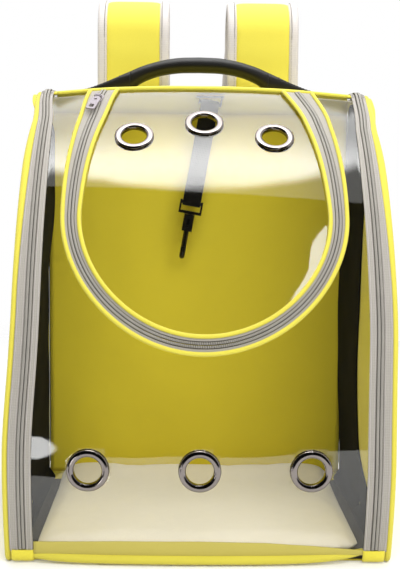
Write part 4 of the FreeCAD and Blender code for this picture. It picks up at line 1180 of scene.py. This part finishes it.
for hand, side in ((1, "right"), (-1, "left")):
    skin = panel_face + panel_swell * np.sin(math.pi * section_share) ** 0.6
    path_share = np.concatenate([section_share, section_share[::-1]])
    depth = np.concatenate([skin, np.full(len(section_share), panel_back)])
    reach = inner_reach[:, None] + (outer_reach - inner_reach)[:, None] * path_share[None, :]
    points = np.empty(reach.shape + (3,))
    points[..., 1:] = window_mid + directions[:, None] * reach[..., None]
    points[..., 0] = wall_x(hand, depth[None, :], points[..., 1], points[..., 2])
    part = grid(points if hand < 0 else points[:, ::-1], wrap_rows=True, wrap_columns=True)
    make(f"side_panel_{side}_cloth", part, yellow_cloth, "bag", [f"side_panel_{side}"])
    out = np.tile([hand, 0.0, 0.0], (len(directions), 1))
    rim = window_ring(hand, rim_offset, rim_face)
    binding = sweep(rim, out, rounded(rim_half, rim_high, 12), closed=True)
    make(f"side_window_{side}_binding", binding, yellow_bias, "bag")
    threads = stitch_part(window_ring(hand, rim_stitch_offset, rim_stitch_face), out, closed=True)
    make(f"side_window_{side}_stitches", threads, yellow_thread, "bag")
    wide = np.interp(loop_s, lens_stations, lens_halves)
    tuck = smooth((loop_s - s_seam + tuck_reach) / tuck_reach)
    tuck = tuck * (1 - smooth((loop_s - s_top) / (s_rear - s_top)))
    bead_at = hand * (piping_x + piping_radius - wide - crest_tuck * tuck)
    bead = np.column_stack([bead_at + slump(bead_at, loop_s), side_loop(-side_bead_drop)])
    bead[:, 2] -= sag(bead_at, loop_s)
    sections = np.stack([rounded(value, piping_radius, 14) for value in wide])
    make(f"side_piping_{side}_bead", sweep(bead, loop_normals, sections, closed=True), yellow_bias, "bag",
         [f"side_piping_{side}"])
    net_parts = []
    net_ends = []
    rim_loop = side_loop(-net_drop)
    lower_rim = rim_loop[np.argsort(rim_loop[:, 0])]
    for y_from, y_to in ((-net_front, 0.0), (0.0, net_back)):
        ys = np.linspace(y_from, y_to, 40)
        low_half = lower_rim[lower_rim[:, 1] < belly_height]
        high_half = lower_rim[lower_rim[:, 1] > belly_height]
        low = np.interp(ys, low_half[:, 0], low_half[:, 1])
        if y_to > 0:
            high = np.interp(ys, high_half[:, 0], high_half[:, 1])
        else:
            bend = (ys - y_from) / (y_to - y_from)
            high = net_step - net_step_drop * np.sqrt(1 - bend ** 2)
        share = np.linspace(0, 1, 60)[:, None]
        zs = low[None, :] + (high - low)[None, :] * share
        sway = np.sin(turn * zs / net_sway_long) * np.sin(turn * ys[None, :] / net_sway_wide)
        sway = net_sway * sway * 4 * share * (1 - share)
        at_y = np.broadcast_to(ys[None, :], zs.shape)
        hem = hem_turn * (1 - smooth((zs - hem_low) / hem_high))
        points = np.stack([wall_x(hand, net_x + sway - hem, at_y, zs), at_y, zs], -1)
        net_parts.append(grid(points if hand > 0 else points[:, ::-1]))
        net_ends += [(ys[0], low.min()), (ys[-1], high.max())]
    net = combine(net_parts)
    net = make(f"side_mesh_{side}_net", net, black_net, "bag", [f"side_mesh_{side}"])
    thicken(net, net_thickness, 0.0)

# Handle: a padded tube with flat sewn ends
handle_y = 92 * mm
grip_half = 73 * mm
flap_start = 72.6 * mm
flap_end = 125 * mm
patch_near = 84 * mm
patch_far = 122 * mm
patch_half = 9 * mm
patch_step = 1.5 * mm
patch_stitch_lift = 0.1 * mm
handle_places = np.array([0, 25, 50, 62, 71, 80, 100, 118, 125]) * mm
handle_tops = np.array([467.5, 466.3, 461, 457, 453, 449, 440, 433, 431.6]) * mm
handle_feet = np.array([451, 450, 444.5, 439, 432.5, 430.7, 430.5, 430.4, 430.3]) * mm
handle_depths = np.array([9.5, 9.5, 9.8, 10, 10.2, 10.4, 10.8, 11, 11]) * mm
handle_powers = np.array([2, 2, 2.1, 2.3, 2.6, 3, 3.4, 4, 4])


def eased(value, places, values):
    """Smooth curve through a few values."""
    slopes = np.gradient(values, places)
    at = np.clip(np.searchsorted(places, value) - 1, 0, len(places) - 2)
    step = places[at + 1] - places[at]
    t = (value - places[at]) / step
    return ((2 * t ** 3 - 3 * t ** 2 + 1) * values[at] + (t ** 3 - 2 * t ** 2 + t) * step * slopes[at]
            + (3 * t ** 2 - 2 * t ** 3) * values[at + 1] + (t ** 3 - t ** 2) * step * slopes[at + 1])


def handle_sizes(place):
    """Top, foot, half depth and squareness of the handle at places out from its middle."""
    sizes = (handle_tops, handle_feet, handle_depths)
    top, foot, depth = [eased(place, handle_places, values) for values in sizes]
    return top, foot, depth, np.interp(place, handle_places, handle_powers)


def handle_part(x_from, x_to, count):
    xs = np.linspace(x_from, x_to, count)
    top, foot, depth, power = handle_sizes(np.clip(np.abs(xs), 0, handle_places[-1]))
    path = np.stack([xs, np.full(count, handle_y), (top + foot) / 2], -1)
    section = np.stack([rounded(d, (t - f) / 2, 24, p) for d, t, f, p in zip(depth, top, foot, power)])
    angles = np.linspace(0, turn, 24, endpoint=False)
    groove = 1 - 0.05 * np.exp(-((np.sin(angles) - 0.15) / 0.12) ** 2)
    section = section * groove[None, :, None]
    points = path[:, None] + np.stack([np.zeros(section.shape[:2]), section[..., 0], section[..., 1]], -1)
    return grid(points[:, ::-1], wrap_columns=True, caps=True)


grip = handle_part(-grip_half, grip_half, 60)
make("handle_grip_tube", grip, handle_skin, "handle", ["handle_grip"])
for hand, side in ((1, "right"), (-1, "left")):
    flap = handle_part(*sorted((hand * flap_start, hand * flap_end)), 36)
    flap = make(f"handle_end_{side}", flap, handle_skin, None, ["handle_anchors"])
    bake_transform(flap)
    patch_x = np.array([patch_near, patch_far, patch_far, patch_near, patch_near]) * hand
    patch_y = handle_y + np.array([-1, -1, 1, 1, -1]) * patch_half
    path = resample(np.stack([patch_x, patch_y], -1), patch_step)
    top, foot, depth, power = handle_sizes(np.abs(path[:, 0]))
    drop = (1 - np.clip(np.abs(path[:, 1] - handle_y) / depth, 0, 1) ** power) ** (1 / power)
    height = (top + foot) / 2 + (top - foot) / 2 * drop + patch_stitch_lift
    path = np.column_stack([path, height])
    threads = stitch_part(path, np.tile(upward, (len(path), 1)))
    threads = make(f"handle_end_{side}_stitches", threads, black_thread, None)
    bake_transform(threads)

# Leash
leash_length = 108 * mm
leash_half = 9.8 * mm
leash_high = 0.8 * mm
leash_from = 12 * mm
leash_to = 96 * mm
leash_ply = 0.95 * mm
leash_sway = 0.5 * mm
leash_sway_long = 90 * mm
leash_seam_step = 1.0 * mm
box_low = 94 * mm
box_high = 86 * mm
box_half = 7 * mm
box_lift = 2.2 * mm
anchor_plate_left = -2.8 * mm
anchor_plate_right = 26.8 * mm
anchor_plate_z = 427.0 * mm
anchor_plate_half = 8.8 * mm
anchor_plate_high = 1.0 * mm
anchor_bar_half = 12.2 * mm
anchor_bar_radius = 1.8 * mm
anchor_lug_across = 11.5 * mm
anchor_lug_top = 427.5 * mm
anchor_lug_foot = 2.2 * mm
anchor_lug_half = 1.0 * mm
anchor_lug_high = 2.9 * mm
leash_pivot = np.array([12, 101, 420.1]) * mm
leash_tilt = math.radians(10)
leash_down = np.array([-math.sin(leash_tilt), 0, -math.cos(leash_tilt)])
leash_side = np.array([math.cos(leash_tilt), 0, -math.sin(leash_tilt)])
leash_out = np.array([0.0, -1.0, 0.0])


def leash_points(rows):
    """Points given as distance down the leash, forward of it and across it."""
    rows = np.asarray(rows, float)
    return leash_pivot + rows[:, :1] * leash_down + rows[:, 1:2] * leash_out + rows[:, 2:] * leash_side


wrap = np.linspace(-0.72 * math.pi, 0.72 * math.pi, 16)
loop_radius = 2.95 * mm
top_loop = np.stack([-loop_radius * np.cos(wrap), loop_radius * np.sin(wrap), 0 * wrap], -1)
low_loop = np.stack([leash_length + loop_radius * np.cos(wrap), -loop_radius * np.sin(wrap), 0 * wrap], -1)
down = np.linspace(leash_from, leash_to, 24)
sway = leash_sway * np.sin(turn * down / leash_sway_long)
front_run = np.stack([down, leash_ply + sway, 0 * down], -1)
back_run = np.stack([down, sway - leash_ply, 0 * down], -1)[::-1]
leash_rows = np.vstack([top_loop, front_run, low_loop, back_run])
leash_path = leash_points(leash_rows)
around = np.roll(leash_path, -1, 0) - np.roll(leash_path, 1, 0)
leash_normals = np.cross(around, leash_side)
strap = sweep(leash_path, leash_normals, rounded(leash_half, leash_high, 14, 5), closed=True)
make("leash_strap_webbing", strap, black_webbing, "leash", ["leash_strap"])
box_corners = [[box_low, box_lift, -box_half], [box_low, box_lift, box_half],
               [box_high, box_lift, box_half], [box_high, box_lift, -box_half]]
threads = []
for rows in (box_corners + box_corners[:1], box_corners[::2], box_corners[1::2]):
    line = resample(leash_points(rows), leash_seam_step)
    threads.append(stitch_part(line, np.tile(leash_out, (len(line), 1)), leash_stitch))
make("leash_strap_stitches", combine(threads), black_thread, "leash")
patch_x = np.linspace(anchor_plate_left, anchor_plate_right, 12)
patch_path = np.stack([patch_x, np.full(12, leash_pivot[1]), np.full(12, anchor_plate_z)], -1)
patch = sweep(patch_path, np.tile(upward, (12, 1)), rounded(anchor_plate_half, anchor_plate_high, 16, 5))
rows = [[0, 0, across] for across in np.linspace(-anchor_bar_half, anchor_bar_half, 6)]
bar = sweep(leash_points(rows), np.tile(leash_out, (6, 1)), rounded(anchor_bar_radius, anchor_bar_radius, 14))
lugs = []
for across in (-anchor_lug_across, anchor_lug_across):
    top_z = (anchor_lug_top - leash_pivot[2] - across * leash_side[2]) / -leash_down[2]
    rows = [[down_at, 0, across] for down_at in np.linspace(anchor_lug_foot, -top_z, 8)]
    section = rounded(anchor_lug_half, anchor_lug_high, 12, 4)
    lugs.append(sweep(leash_points(rows), np.tile(leash_out, (8, 1)), section))
anchor = combine([patch, bar] + lugs)
make("leash_anchor_patch", anchor, black_webbing, "bag", ["leash_anchor"])

# Shoulder straps
pad_half = 29.6 * mm
pad_high = 4.6 * mm
pad_quilt = 37 * mm
right_pad_bend = 7.5 * mm
left_pad_bend = 1.5 * mm
edge_offset = 33.8 * mm
edge_half = 5.3 * mm
edge_high = 5.2 * mm
edge_stitch_offset = 31.2 * mm
edge_stitch_lift = 5.25 * mm
ribbon_half = 12.3 * mm
ribbon_high = 0.75 * mm
loop_sewn = 14 * mm
loop_sewn_lift = 1.1 * mm
loop_neck = 4 * mm
loop_neck_lift = 1.3 * mm
loop_bar = 12 * mm
loop_bar_radius = 3.2 * mm
lock_bar = 26 * mm
lock_bar_radius = 3.1 * mm
ribbon_near = 28 * mm
tail_start = 30 * mm
tail_end = 96 * mm
tail_lift = 2.4 * mm
foot_tab_low = 18.5 * mm
foot_tab_high = 61.5 * mm
foot_tab_half = 16 * mm
foot_tab_taper = 3.5 * mm
foot_tab_y = 132.1 * mm
foot_tab_thick = 0.9 * mm
foot_stitch_y = 133.1 * mm
foot_stitch_step = 1 * mm
foot_stitch_x = np.array([-13, 13, 10, -10, -13]) * mm
foot_stitch_z = np.array([22, 22, 52, 52, 22]) * mm
strap_x = 71 * mm
strap_drift = -0.8 * mm
strap_y = 136.45 * mm
strap_foot = 392 * mm
arch_z = 497 * mm
arch_radius = 34 * mm
anchor_y = 137.5 * mm
anchor_z = 40 * mm
webbing_run = 152 * mm
arch_y = strap_y + arch_radius
reach_y = arch_y - anchor_y
reach_z = arch_z - anchor_z
reach = math.hypot(reach_y, reach_z)
lean = math.atan2(reach_y, reach_z) + math.asin(arch_radius / reach)
run_length = math.sqrt(reach ** 2 - arch_radius ** 2)
pad_run = run_length - webbing_run
run_down = np.array([0.0, -math.sin(lean), -math.cos(lean)])
run_out = np.array([0.0, math.cos(lean), -math.sin(lean)])
rise_rows = 26
arch_rows = 33
run_rows = 59


def strap_line(x):
    """Path and normals of a shoulder pad: up the back, over an arch and down behind."""
    rise_z = np.linspace(strap_foot, arch_z, rise_rows)
    rise = np.stack([np.full(rise_rows, strap_y), rise_z], -1)
    angles = np.linspace(0, 2 * quarter + lean, arch_rows + 1)[1:]
    arch = np.stack([arch_y - arch_radius * np.cos(angles), arch_z + arch_radius * np.sin(angles)], -1)
    down = np.linspace(0, pad_run, run_rows + 1)[1:, None]
    run = arch[-1] + down * run_down[1:]
    line = np.vstack([rise, arch, run])
    path = np.column_stack([np.full(len(line), x), line])
    tangents = np.gradient(path, axis=0)
    normals = np.cross(tangents, rightward)
    return path, normals / np.linalg.norm(normals, axis=1, keepdims=True)


run_start = np.array([0.0, arch_y - arch_radius * math.cos(2 * quarter + lean),
                      arch_z + arch_radius * math.sin(2 * quarter + lean)])


def run_points(x, rows):
    """Points below the pad: distance down the run and off its outer face."""
    rows = np.asarray(rows, float)
    return np.array([x, 0, 0]) + run_start + (pad_run + rows[:, :1]) * run_down + rows[:, 1:] * run_out


for hand, side in ((1, "right"), (-1, "left")):
    x = hand * strap_x
    path, normals = strap_line(x + strap_drift)
    drop = np.clip((np.arange(len(path)) - rise_rows - arch_rows) / run_rows, 0, 1)
    path[:, 0] -= (right_pad_bend if hand > 0 else left_pad_bend) * hand * np.sin(math.pi * drop)
    count = 28
    section = rounded(pad_half, pad_high, count, 4.5)
    lengths = np.concatenate([[0], np.cumsum(np.linalg.norm(np.diff(path, axis=0), axis=1))])
    quilt = 1 + 0.06 * np.sin(turn * lengths / pad_quilt)
    sections = section[None] * np.stack([np.ones_like(quilt), quilt], -1)[:, None]
    part = sweep(path, normals, sections)
    pad = make(f"strap_pad_{side}_padded", part, [yellow_strap, grey_net], "bag",
               [f"strap_pad_{side}"])
    columns = np.arange(len(pad.data.polygons)) % count
    under = (columns < count // 2) & (np.arange(len(pad.data.polygons)) < (len(path) - 1) * count)
    pad.data.polygons.foreach_set("material_index", under.astype(np.int32))
    edges, threads = [], []
    for edge in (-1, 1):
        offset = np.array([edge * edge_offset, 0, 0])
        edges.append(sweep(path + offset, normals, rounded(edge_half, edge_high, 18, 3.2)))
        for face in (-1, 1):
            line = path + np.array([edge * edge_stitch_offset, 0, 0]) + normals * face * edge_stitch_lift
            threads.append(stitch_part(line, normals, strap_stitch))
    edges = combine(edges)
    make(f"strap_binding_{side}_tape", edges, binding_tape, "bag", [f"strap_binding_{side}"])
    make(f"strap_binding_{side}_stitches", combine(threads), grey_thread, "bag")
    bar_loop = np.linspace(-0.62 * math.pi, 0.62 * math.pi, 16)
    round_bar = np.stack([np.cos(bar_loop[::-1]), np.sin(bar_loop[::-1])], -1)
    loop_rows = np.vstack([
        [[-loop_sewn, loop_sewn_lift], [loop_neck, loop_neck_lift]],
        np.array([loop_bar, 0]) + loop_bar_radius * round_bar,
        [[loop_neck, -loop_neck_lift], [-loop_sewn, -loop_sewn_lift]],
    ])
    over = np.linspace(-quarter, quarter, 14)
    tail_lifts = lock_bar_radius + tail_lift * np.linspace(0, 1, 16) ** 2
    ribbon_rows = np.vstack([
        np.stack([np.linspace(webbing_run, ribbon_near, 26), np.full(26, -lock_bar_radius)], -1),
        np.stack([lock_bar - lock_bar_radius * np.cos(over), lock_bar_radius * np.sin(over)], -1),
        np.stack([np.linspace(tail_start, tail_end, 16), tail_lifts], -1),
    ])
    for node, form, rows in (("strap_loop", "webbing", loop_rows), ("strap_webbing", "ribbon", ribbon_rows)):
        line = run_points(x, rows)
        across = np.cross(np.gradient(line, axis=0), rightward)
        ribbon = sweep(line, across, rounded(ribbon_half, ribbon_high, 12, 5))
        make(f"{node}_{side}_{form}", ribbon, grey_webbing, "bag", [f"{node}_{side}"])

tabs, threads = [], []
for hand in (1, -1):
    tab_z = np.linspace(foot_tab_low, foot_tab_high, 14)
    halves = foot_tab_half - foot_tab_taper * np.linspace(0, 1, 14)
    path = np.column_stack([np.full(14, hand * strap_x), np.full(14, foot_tab_y), tab_z])
    section = np.stack([rounded(half, foot_tab_thick, 14, 5) for half in halves])
    tabs.append(sweep(path, np.tile(backward, (14, 1)), section))
    line = np.column_stack([hand * strap_x + foot_stitch_x, np.full(5, foot_stitch_y), foot_stitch_z])
    line = resample(line, foot_stitch_step)
    threads.append(stitch_part(line, np.tile(backward, (len(line), 1))))
make("strap_anchors_tabs", combine(tabs), grey_webbing, "bag", ["strap_anchors"])
make("strap_anchors_stitches", combine(threads), grey_thread, "bag")


# Padded pieces, swollen by a short cloth simulation
def cushion_mesh(width, half_depth, height, drawn_in):
    """A crowned pad with drawn-in sides, lying on z = 0."""
    angles = np.linspace(0, turn, 96, endpoint=False)
    loops = []
    for level, inset in zip(level_shares, inset_shares):
        half = np.array([width / 2, half_depth]) - inset * pad_corner
        points = rounded(half[0], half[1], 96, 16.0)
        pull = 1 - drawn_in / half[0] * np.cos(2 * angles) ** 2
        loops.append(np.column_stack([points * pull[:, None], np.full(96, level * height)]))
    return grid(np.array(loops), wrap_columns=True, caps=True)


def inflate(piece, voxel, cap, frame_count=20):
    """Swell a closed pad by cloth pressure, each point by no more than cap."""
    remesh = piece.modifiers.new("remesh", "REMESH")
    remesh.mode = "VOXEL"
    remesh.voxel_size = voxel
    graph = bpy.context.evaluated_depsgraph_get()
    mesh = bpy.data.meshes.new_from_object(piece.evaluated_get(graph))
    piece.modifiers.clear()
    materials = list(piece.data.materials)
    piece.data = mesh
    mesh.materials.clear()
    for material in materials:
        mesh.materials.append(material)
    mesh.polygons.foreach_set("use_smooth", [True] * len(mesh.polygons))
    start = np.array([vert.co for vert in mesh.vertices])
    cloth = piece.modifiers.new("cloth", "CLOTH")
    cloth.settings.use_pressure = True
    cloth.settings.uniform_pressure_force = cloth_pressure
    cloth.settings.effector_weights.gravity = 0
    cloth.settings.quality = 5
    for number in range(1, frame_count + 1):
        bpy.context.scene.frame_set(number)
    graph = bpy.context.evaluated_depsgraph_get()
    swollen = np.array([vert.co for vert in piece.evaluated_get(graph).data.vertices])
    piece.modifiers.clear()
    bpy.context.scene.frame_set(1)
    move = swollen - start
    length = np.linalg.norm(move, axis=1, keepdims=True)
    return start + move * np.minimum(1, cap / np.maximum(length, 1e-9))


pad_corner = 20 * mm
mat_width = 306 * mm
mat_half_depth = 122 * mm
mat_height = 9.5 * mm
mat_drawn_in = 1 * mm
mat_voxel = 5 * mm
mat_cap = 4.5 * mm
mat_curl_start = 50 * mm
mat_curl_reach = 70 * mm
mat_gap = 0.5 * mm
back_pad_width = 194 * mm
back_pad_half = 138 * mm
back_pad_height = 6 * mm
back_pad_drawn_in = 2 * mm
back_pad_voxel = 4 * mm
back_pad_cap = 3.0 * mm
back_pad_gap = 0.3 * mm
back_pad_middle = 216 * mm
channel_x = 42 * mm
channel_half = 3.5 * mm
channel_depth = 3.0 * mm
channel_floor = 2 * mm
cloth_pressure = 4.0
level_shares = (0.0, 0.1, 0.3, 0.6, 0.85, 0.97, 1.0)
inset_shares = (0.30, 0.12, 0.02, 0.02, 0.15, 0.4, 0.75)
mat_floor = 4.5 * mm
mat_curl = 6 * mm
mat = cushion_mesh(mat_width, mat_half_depth, mat_height, mat_drawn_in)
mat = make("floor_mat_plush", mat, cream_plush, None, ["floor_mat"])
points = inflate(mat, mat_voxel, mat_cap)
curl = mat_curl * smooth((points[:, 1] - mat_curl_start) / mat_curl_reach)
points[:, 2] += curl * points[:, 2] / mat_height
points[:, 2] = np.maximum(points[:, 2] + mat_floor + mat_gap, mat_floor)
mat.data.vertices.foreach_set("co", points.astype(np.float32).ravel())
mat.data.update()
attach(mat, "mat")
soften(mat)

pad = cushion_mesh(back_pad_width, back_pad_half, back_pad_height, back_pad_drawn_in)
pad = make("back_pad_mesh", pad, grey_net, None, ["back_pad"])
points = inflate(pad, back_pad_voxel, back_pad_cap)
channel = np.exp(-((np.abs(points[:, 0]) - channel_x) / channel_half) ** 2)
channel = np.maximum(channel, np.exp(-(points[:, 1] / channel_half) ** 2))
height = np.where(points[:, 2] > channel_floor, points[:, 2] - channel_depth * channel, points[:, 2])
pad_y = back_y + back_pad_gap + np.maximum(height, 0.0)
points = np.column_stack([points[:, 0], pad_y, back_pad_middle + points[:, 1]])
pad.data.vertices.foreach_set("co", points.astype(np.float32).ravel())
pad.data.flip_normals()
layer = pad.data.uv_layers.new(name="cloth")
loop_verts = np.array([loop.vertex_index for loop in pad.data.loops])
layer.data.foreach_set("uv", points[loop_verts][:, [0, 2]].astype(np.float32).ravel())
pad.data.update()
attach(pad, "bag")
soften(pad)


# Stage
def card(name, corners, material):
    mesh = bpy.data.meshes.new(name)
    mesh.from_pydata([tuple(corner) for corner in corners], [], [tuple(range(len(corners)))])
    mesh.materials.append(material)
    made = bpy.data.objects.new(name, mesh)
    bpy.context.scene.collection.objects.link(made)
    return made


def flat_corners(middle, reach, first, second):
    """Corners of a flat card round its middle, reaching along two axes."""
    corners = []
    for a, b in ((-1, -1), (1, -1), (1, 1), (-1, 1)):
        corner = list(middle)
        corner[first] += a * reach[first]
        corner[second] += b * reach[second]
        corners.append(corner)
    return corners


def soft_glow(name, middle, reach, strength, bright_y=0.0, bright_reach=1.0, least=1.0, edge=0.16):
    """A soft-edged oval light, even or brightest across a band of it."""
    paint = Paint(name)
    place = paint.place()
    away = paint.node("ShaderNodeVectorMath", {0: place, 1: middle}, operation="SUBTRACT").outputs[0]
    away = paint.node("ShaderNodeVectorMath", {0: away, 1: reach}, operation="DIVIDE").outputs[0]
    radius = paint.node("ShaderNodeVectorMath", {0: away}, operation="LENGTH").outputs["Value"]
    along = paint.node("ShaderNodeSeparateXYZ", {"Vector": place}).outputs[1]
    off = paint.math("DIVIDE", paint.math("SUBTRACT", along, bright_y), bright_reach)
    band = paint.math("POWER", math.e, paint.math("MULTIPLY", paint.math("MULTIPLY", off, off), -1.0))
    level = paint.math("MULTIPLY_ADD", band, (1 - least) * strength, least * strength)
    fade = paint.node("ShaderNodeMapRange", {"Value": radius, "From Min": 1.0, "From Max": 1.0 - edge},
                      interpolation_type="SMOOTHSTEP").outputs[0]
    glow = paint.node("ShaderNodeEmission", {"Strength": level})
    clear = paint.node("ShaderNodeBsdfTransparent")
    mix = paint.node("ShaderNodeMixShader", {0: fade, 1: clear.outputs[0], 2: glow.outputs[0]})
    return paint.output(mix.outputs[0])


def mirrored_only(piece):
    for ray in ("camera", "diffuse", "transmission", "volume_scatter", "shadow"):
        setattr(piece, f"visible_{ray}", False)


floor_size = 1.6
floor_solid = 0.62
floor_margin = 0.1
floor_paint = Paint("floor_white")
floor_place = floor_paint.place()
floor_away = floor_paint.node("ShaderNodeVectorMath", {0: floor_place}, operation="LENGTH").outputs["Value"]
floor_cloud = floor_paint.noise(floor_place, 6.0, 2.0)
floor_tone = floor_paint.blend(floor_cloud, (0.93, 0.93, 0.93, 1), (0.95, 0.95, 0.95, 1))
floor_cloth = floor_paint.node("ShaderNodeBsdfDiffuse", {"Color": floor_tone, "Roughness": 0.5})
floor_range = {"Value": floor_away, "From Min": floor_solid, "From Max": floor_size - floor_margin}
floor_fade = floor_paint.node("ShaderNodeMapRange", floor_range, interpolation_type="SMOOTHSTEP").outputs[0]
floor_clear = floor_paint.node("ShaderNodeBsdfTransparent")
floor_shaders = {0: floor_fade, 1: floor_cloth.outputs[0], 2: floor_clear.outputs[0]}
floor_mix = floor_paint.node("ShaderNodeMixShader", floor_shaders)
floor_white = floor_paint.output(floor_mix.outputs[0])
card("floor", flat_corners((0, 0, 0), (floor_size, floor_size, 0), 0, 1), floor_white)

black_flag = Paint("black_flag")
black_flag = black_flag.finish(Base_Color=(0.01, 0.01, 0.01, 1.0), Roughness=1.0, Specular_IOR_Level=0.0)
flag_left = Vector((-1.4, -0.27, 0.0))
flag_right = Vector((1.4, -0.77, 0.0))
flag_rise = Vector((0.0, 0.0, 1.8))
flag_corners = [flag_left, flag_right, flag_right + flag_rise, flag_left + flag_rise]
mirrored_only(card("front_flag", flag_corners, black_flag))

glow_middle = (0.0, 0.2, 1.4)
glow_reach = (0.5, 0.62, 1.0)
glow_strength = 8.4
glow_bright_y = -0.17
glow_bright_reach = 0.24
glow = soft_glow("top_glow", glow_middle, glow_reach, glow_strength, glow_bright_y, glow_bright_reach, 0.42)
mirrored_only(card("top_glow", flat_corners(glow_middle, glow_reach, 0, 1), glow))

# A small lamp low on the left, a tall one high on the right, and dark ground under the small one
left_glint_strength = 6.4
left_glint_middle = (-0.203, -0.40, 0.045)
left_glint_reach = (0.03, 1.0, 0.031)
glint = soft_glow("left_glint", left_glint_middle, left_glint_reach, left_glint_strength)
mirrored_only(card("left_glint", flat_corners(left_glint_middle, left_glint_reach, 0, 2), glint))
right_glint_strength = 6.3
right_glint_middle = (0.2, -0.50, 0.75)
right_glint_reach = (1.0, 1.0, 1.0)
right_glint_places = ((0.28, 1.04), (0.223, 0.84), (0.19, 0.64), (0.14, 0.47), (0.21, 0.61), (0.25, 0.76))
right_glint_corners = [(x, right_glint_middle[1], z) for x, z in right_glint_places]
glint = soft_glow("right_glint", right_glint_middle, right_glint_reach, right_glint_strength)
mirrored_only(card("right_glint", right_glint_corners, glint))
ground_middle = (-0.2325, -0.4125, 0.002)
ground_reach = (0.0675, 0.0775, 0.0)
mirrored_only(card("ground_flag", flat_corners(ground_middle, ground_reach, 0, 1), black_flag))

# Lamps: name, place, aim, size and power
lamps = (
    ("top_box", (0.0, 0.2, 1.45), (0.0, 0.2, 0.0), (1.4, 1.08), 17.5),
    ("front_fill", (0.2, -1.25, 1.15), (0.0, 0.05, 0.15), (1.3, 0.9), 14.5),
    ("right_fill", (1.2, -1.1, 0.8), (0.0, 0.0, 0.25), (0.8, 1.0), 5.0),
)
for name, place, aim, size, power in lamps:
    light = bpy.data.lights.new(name, "AREA")
    light.shape = "RECTANGLE"
    light.size, light.size_y = size
    light.energy = power
    made = bpy.data.objects.new(name, light)
    made.location = place
    made.rotation_euler = (Vector(aim) - Vector(place)).to_track_quat("-Z", "Y").to_euler()
    made.visible_glossy = False
    made.visible_camera = False
    bpy.context.scene.collection.objects.link(made)

# The world is white where it is seen and dimmer as a light
world = bpy.data.worlds.new("studio")
bpy.context.scene.world = world
world.use_nodes = True
tree = world.node_tree
tree.nodes.clear()
path_node = tree.nodes.new("ShaderNodeLightPath")
seen = path_node.outputs["Is Camera Ray"]
for ray in ("Is Glossy Ray", "Is Transmission Ray"):
    either = tree.nodes.new("ShaderNodeMath")
    either.operation = "MAXIMUM"
    tree.links.new(seen, either.inputs[0])
    tree.links.new(path_node.outputs[ray], either.inputs[1])
    seen = either.outputs[0]
level = tree.nodes.new("ShaderNodeMapRange")
tree.links.new(seen, level.inputs["Value"])
level.inputs["To Min"].default_value = 0.45
level.inputs["To Max"].default_value = 1.0
sky = tree.nodes.new("ShaderNodeBackground")
tree.links.new(level.outputs[0], sky.inputs["Strength"])
sky.inputs["Color"].default_value = (1, 1, 1, 1)
out = tree.nodes.new("ShaderNodeOutputWorld")
tree.links.new(sky.outputs[0], out.inputs["Surface"])

# Camera
film_size = 36.0
lens_length = 66.4
camera_place = (-0.0186, -1.036, 0.3476)
camera_degrees = (90 - 6.144, -0.6, -1.036)
camera_data = bpy.data.cameras.new("camera")
camera_data.sensor_fit = "VERTICAL"
camera_data.sensor_width = film_size
camera_data.sensor_height = film_size
camera_data.lens = lens_length
camera = bpy.data.objects.new("camera", camera_data)
camera.location = camera_place
camera.rotation_euler = Euler([math.radians(angle) for angle in camera_degrees], "XYZ")
bpy.context.scene.collection.objects.link(camera)
bpy.context.scene.camera = camera
bpy.context.scene.view_settings.view_transform = "Standard"
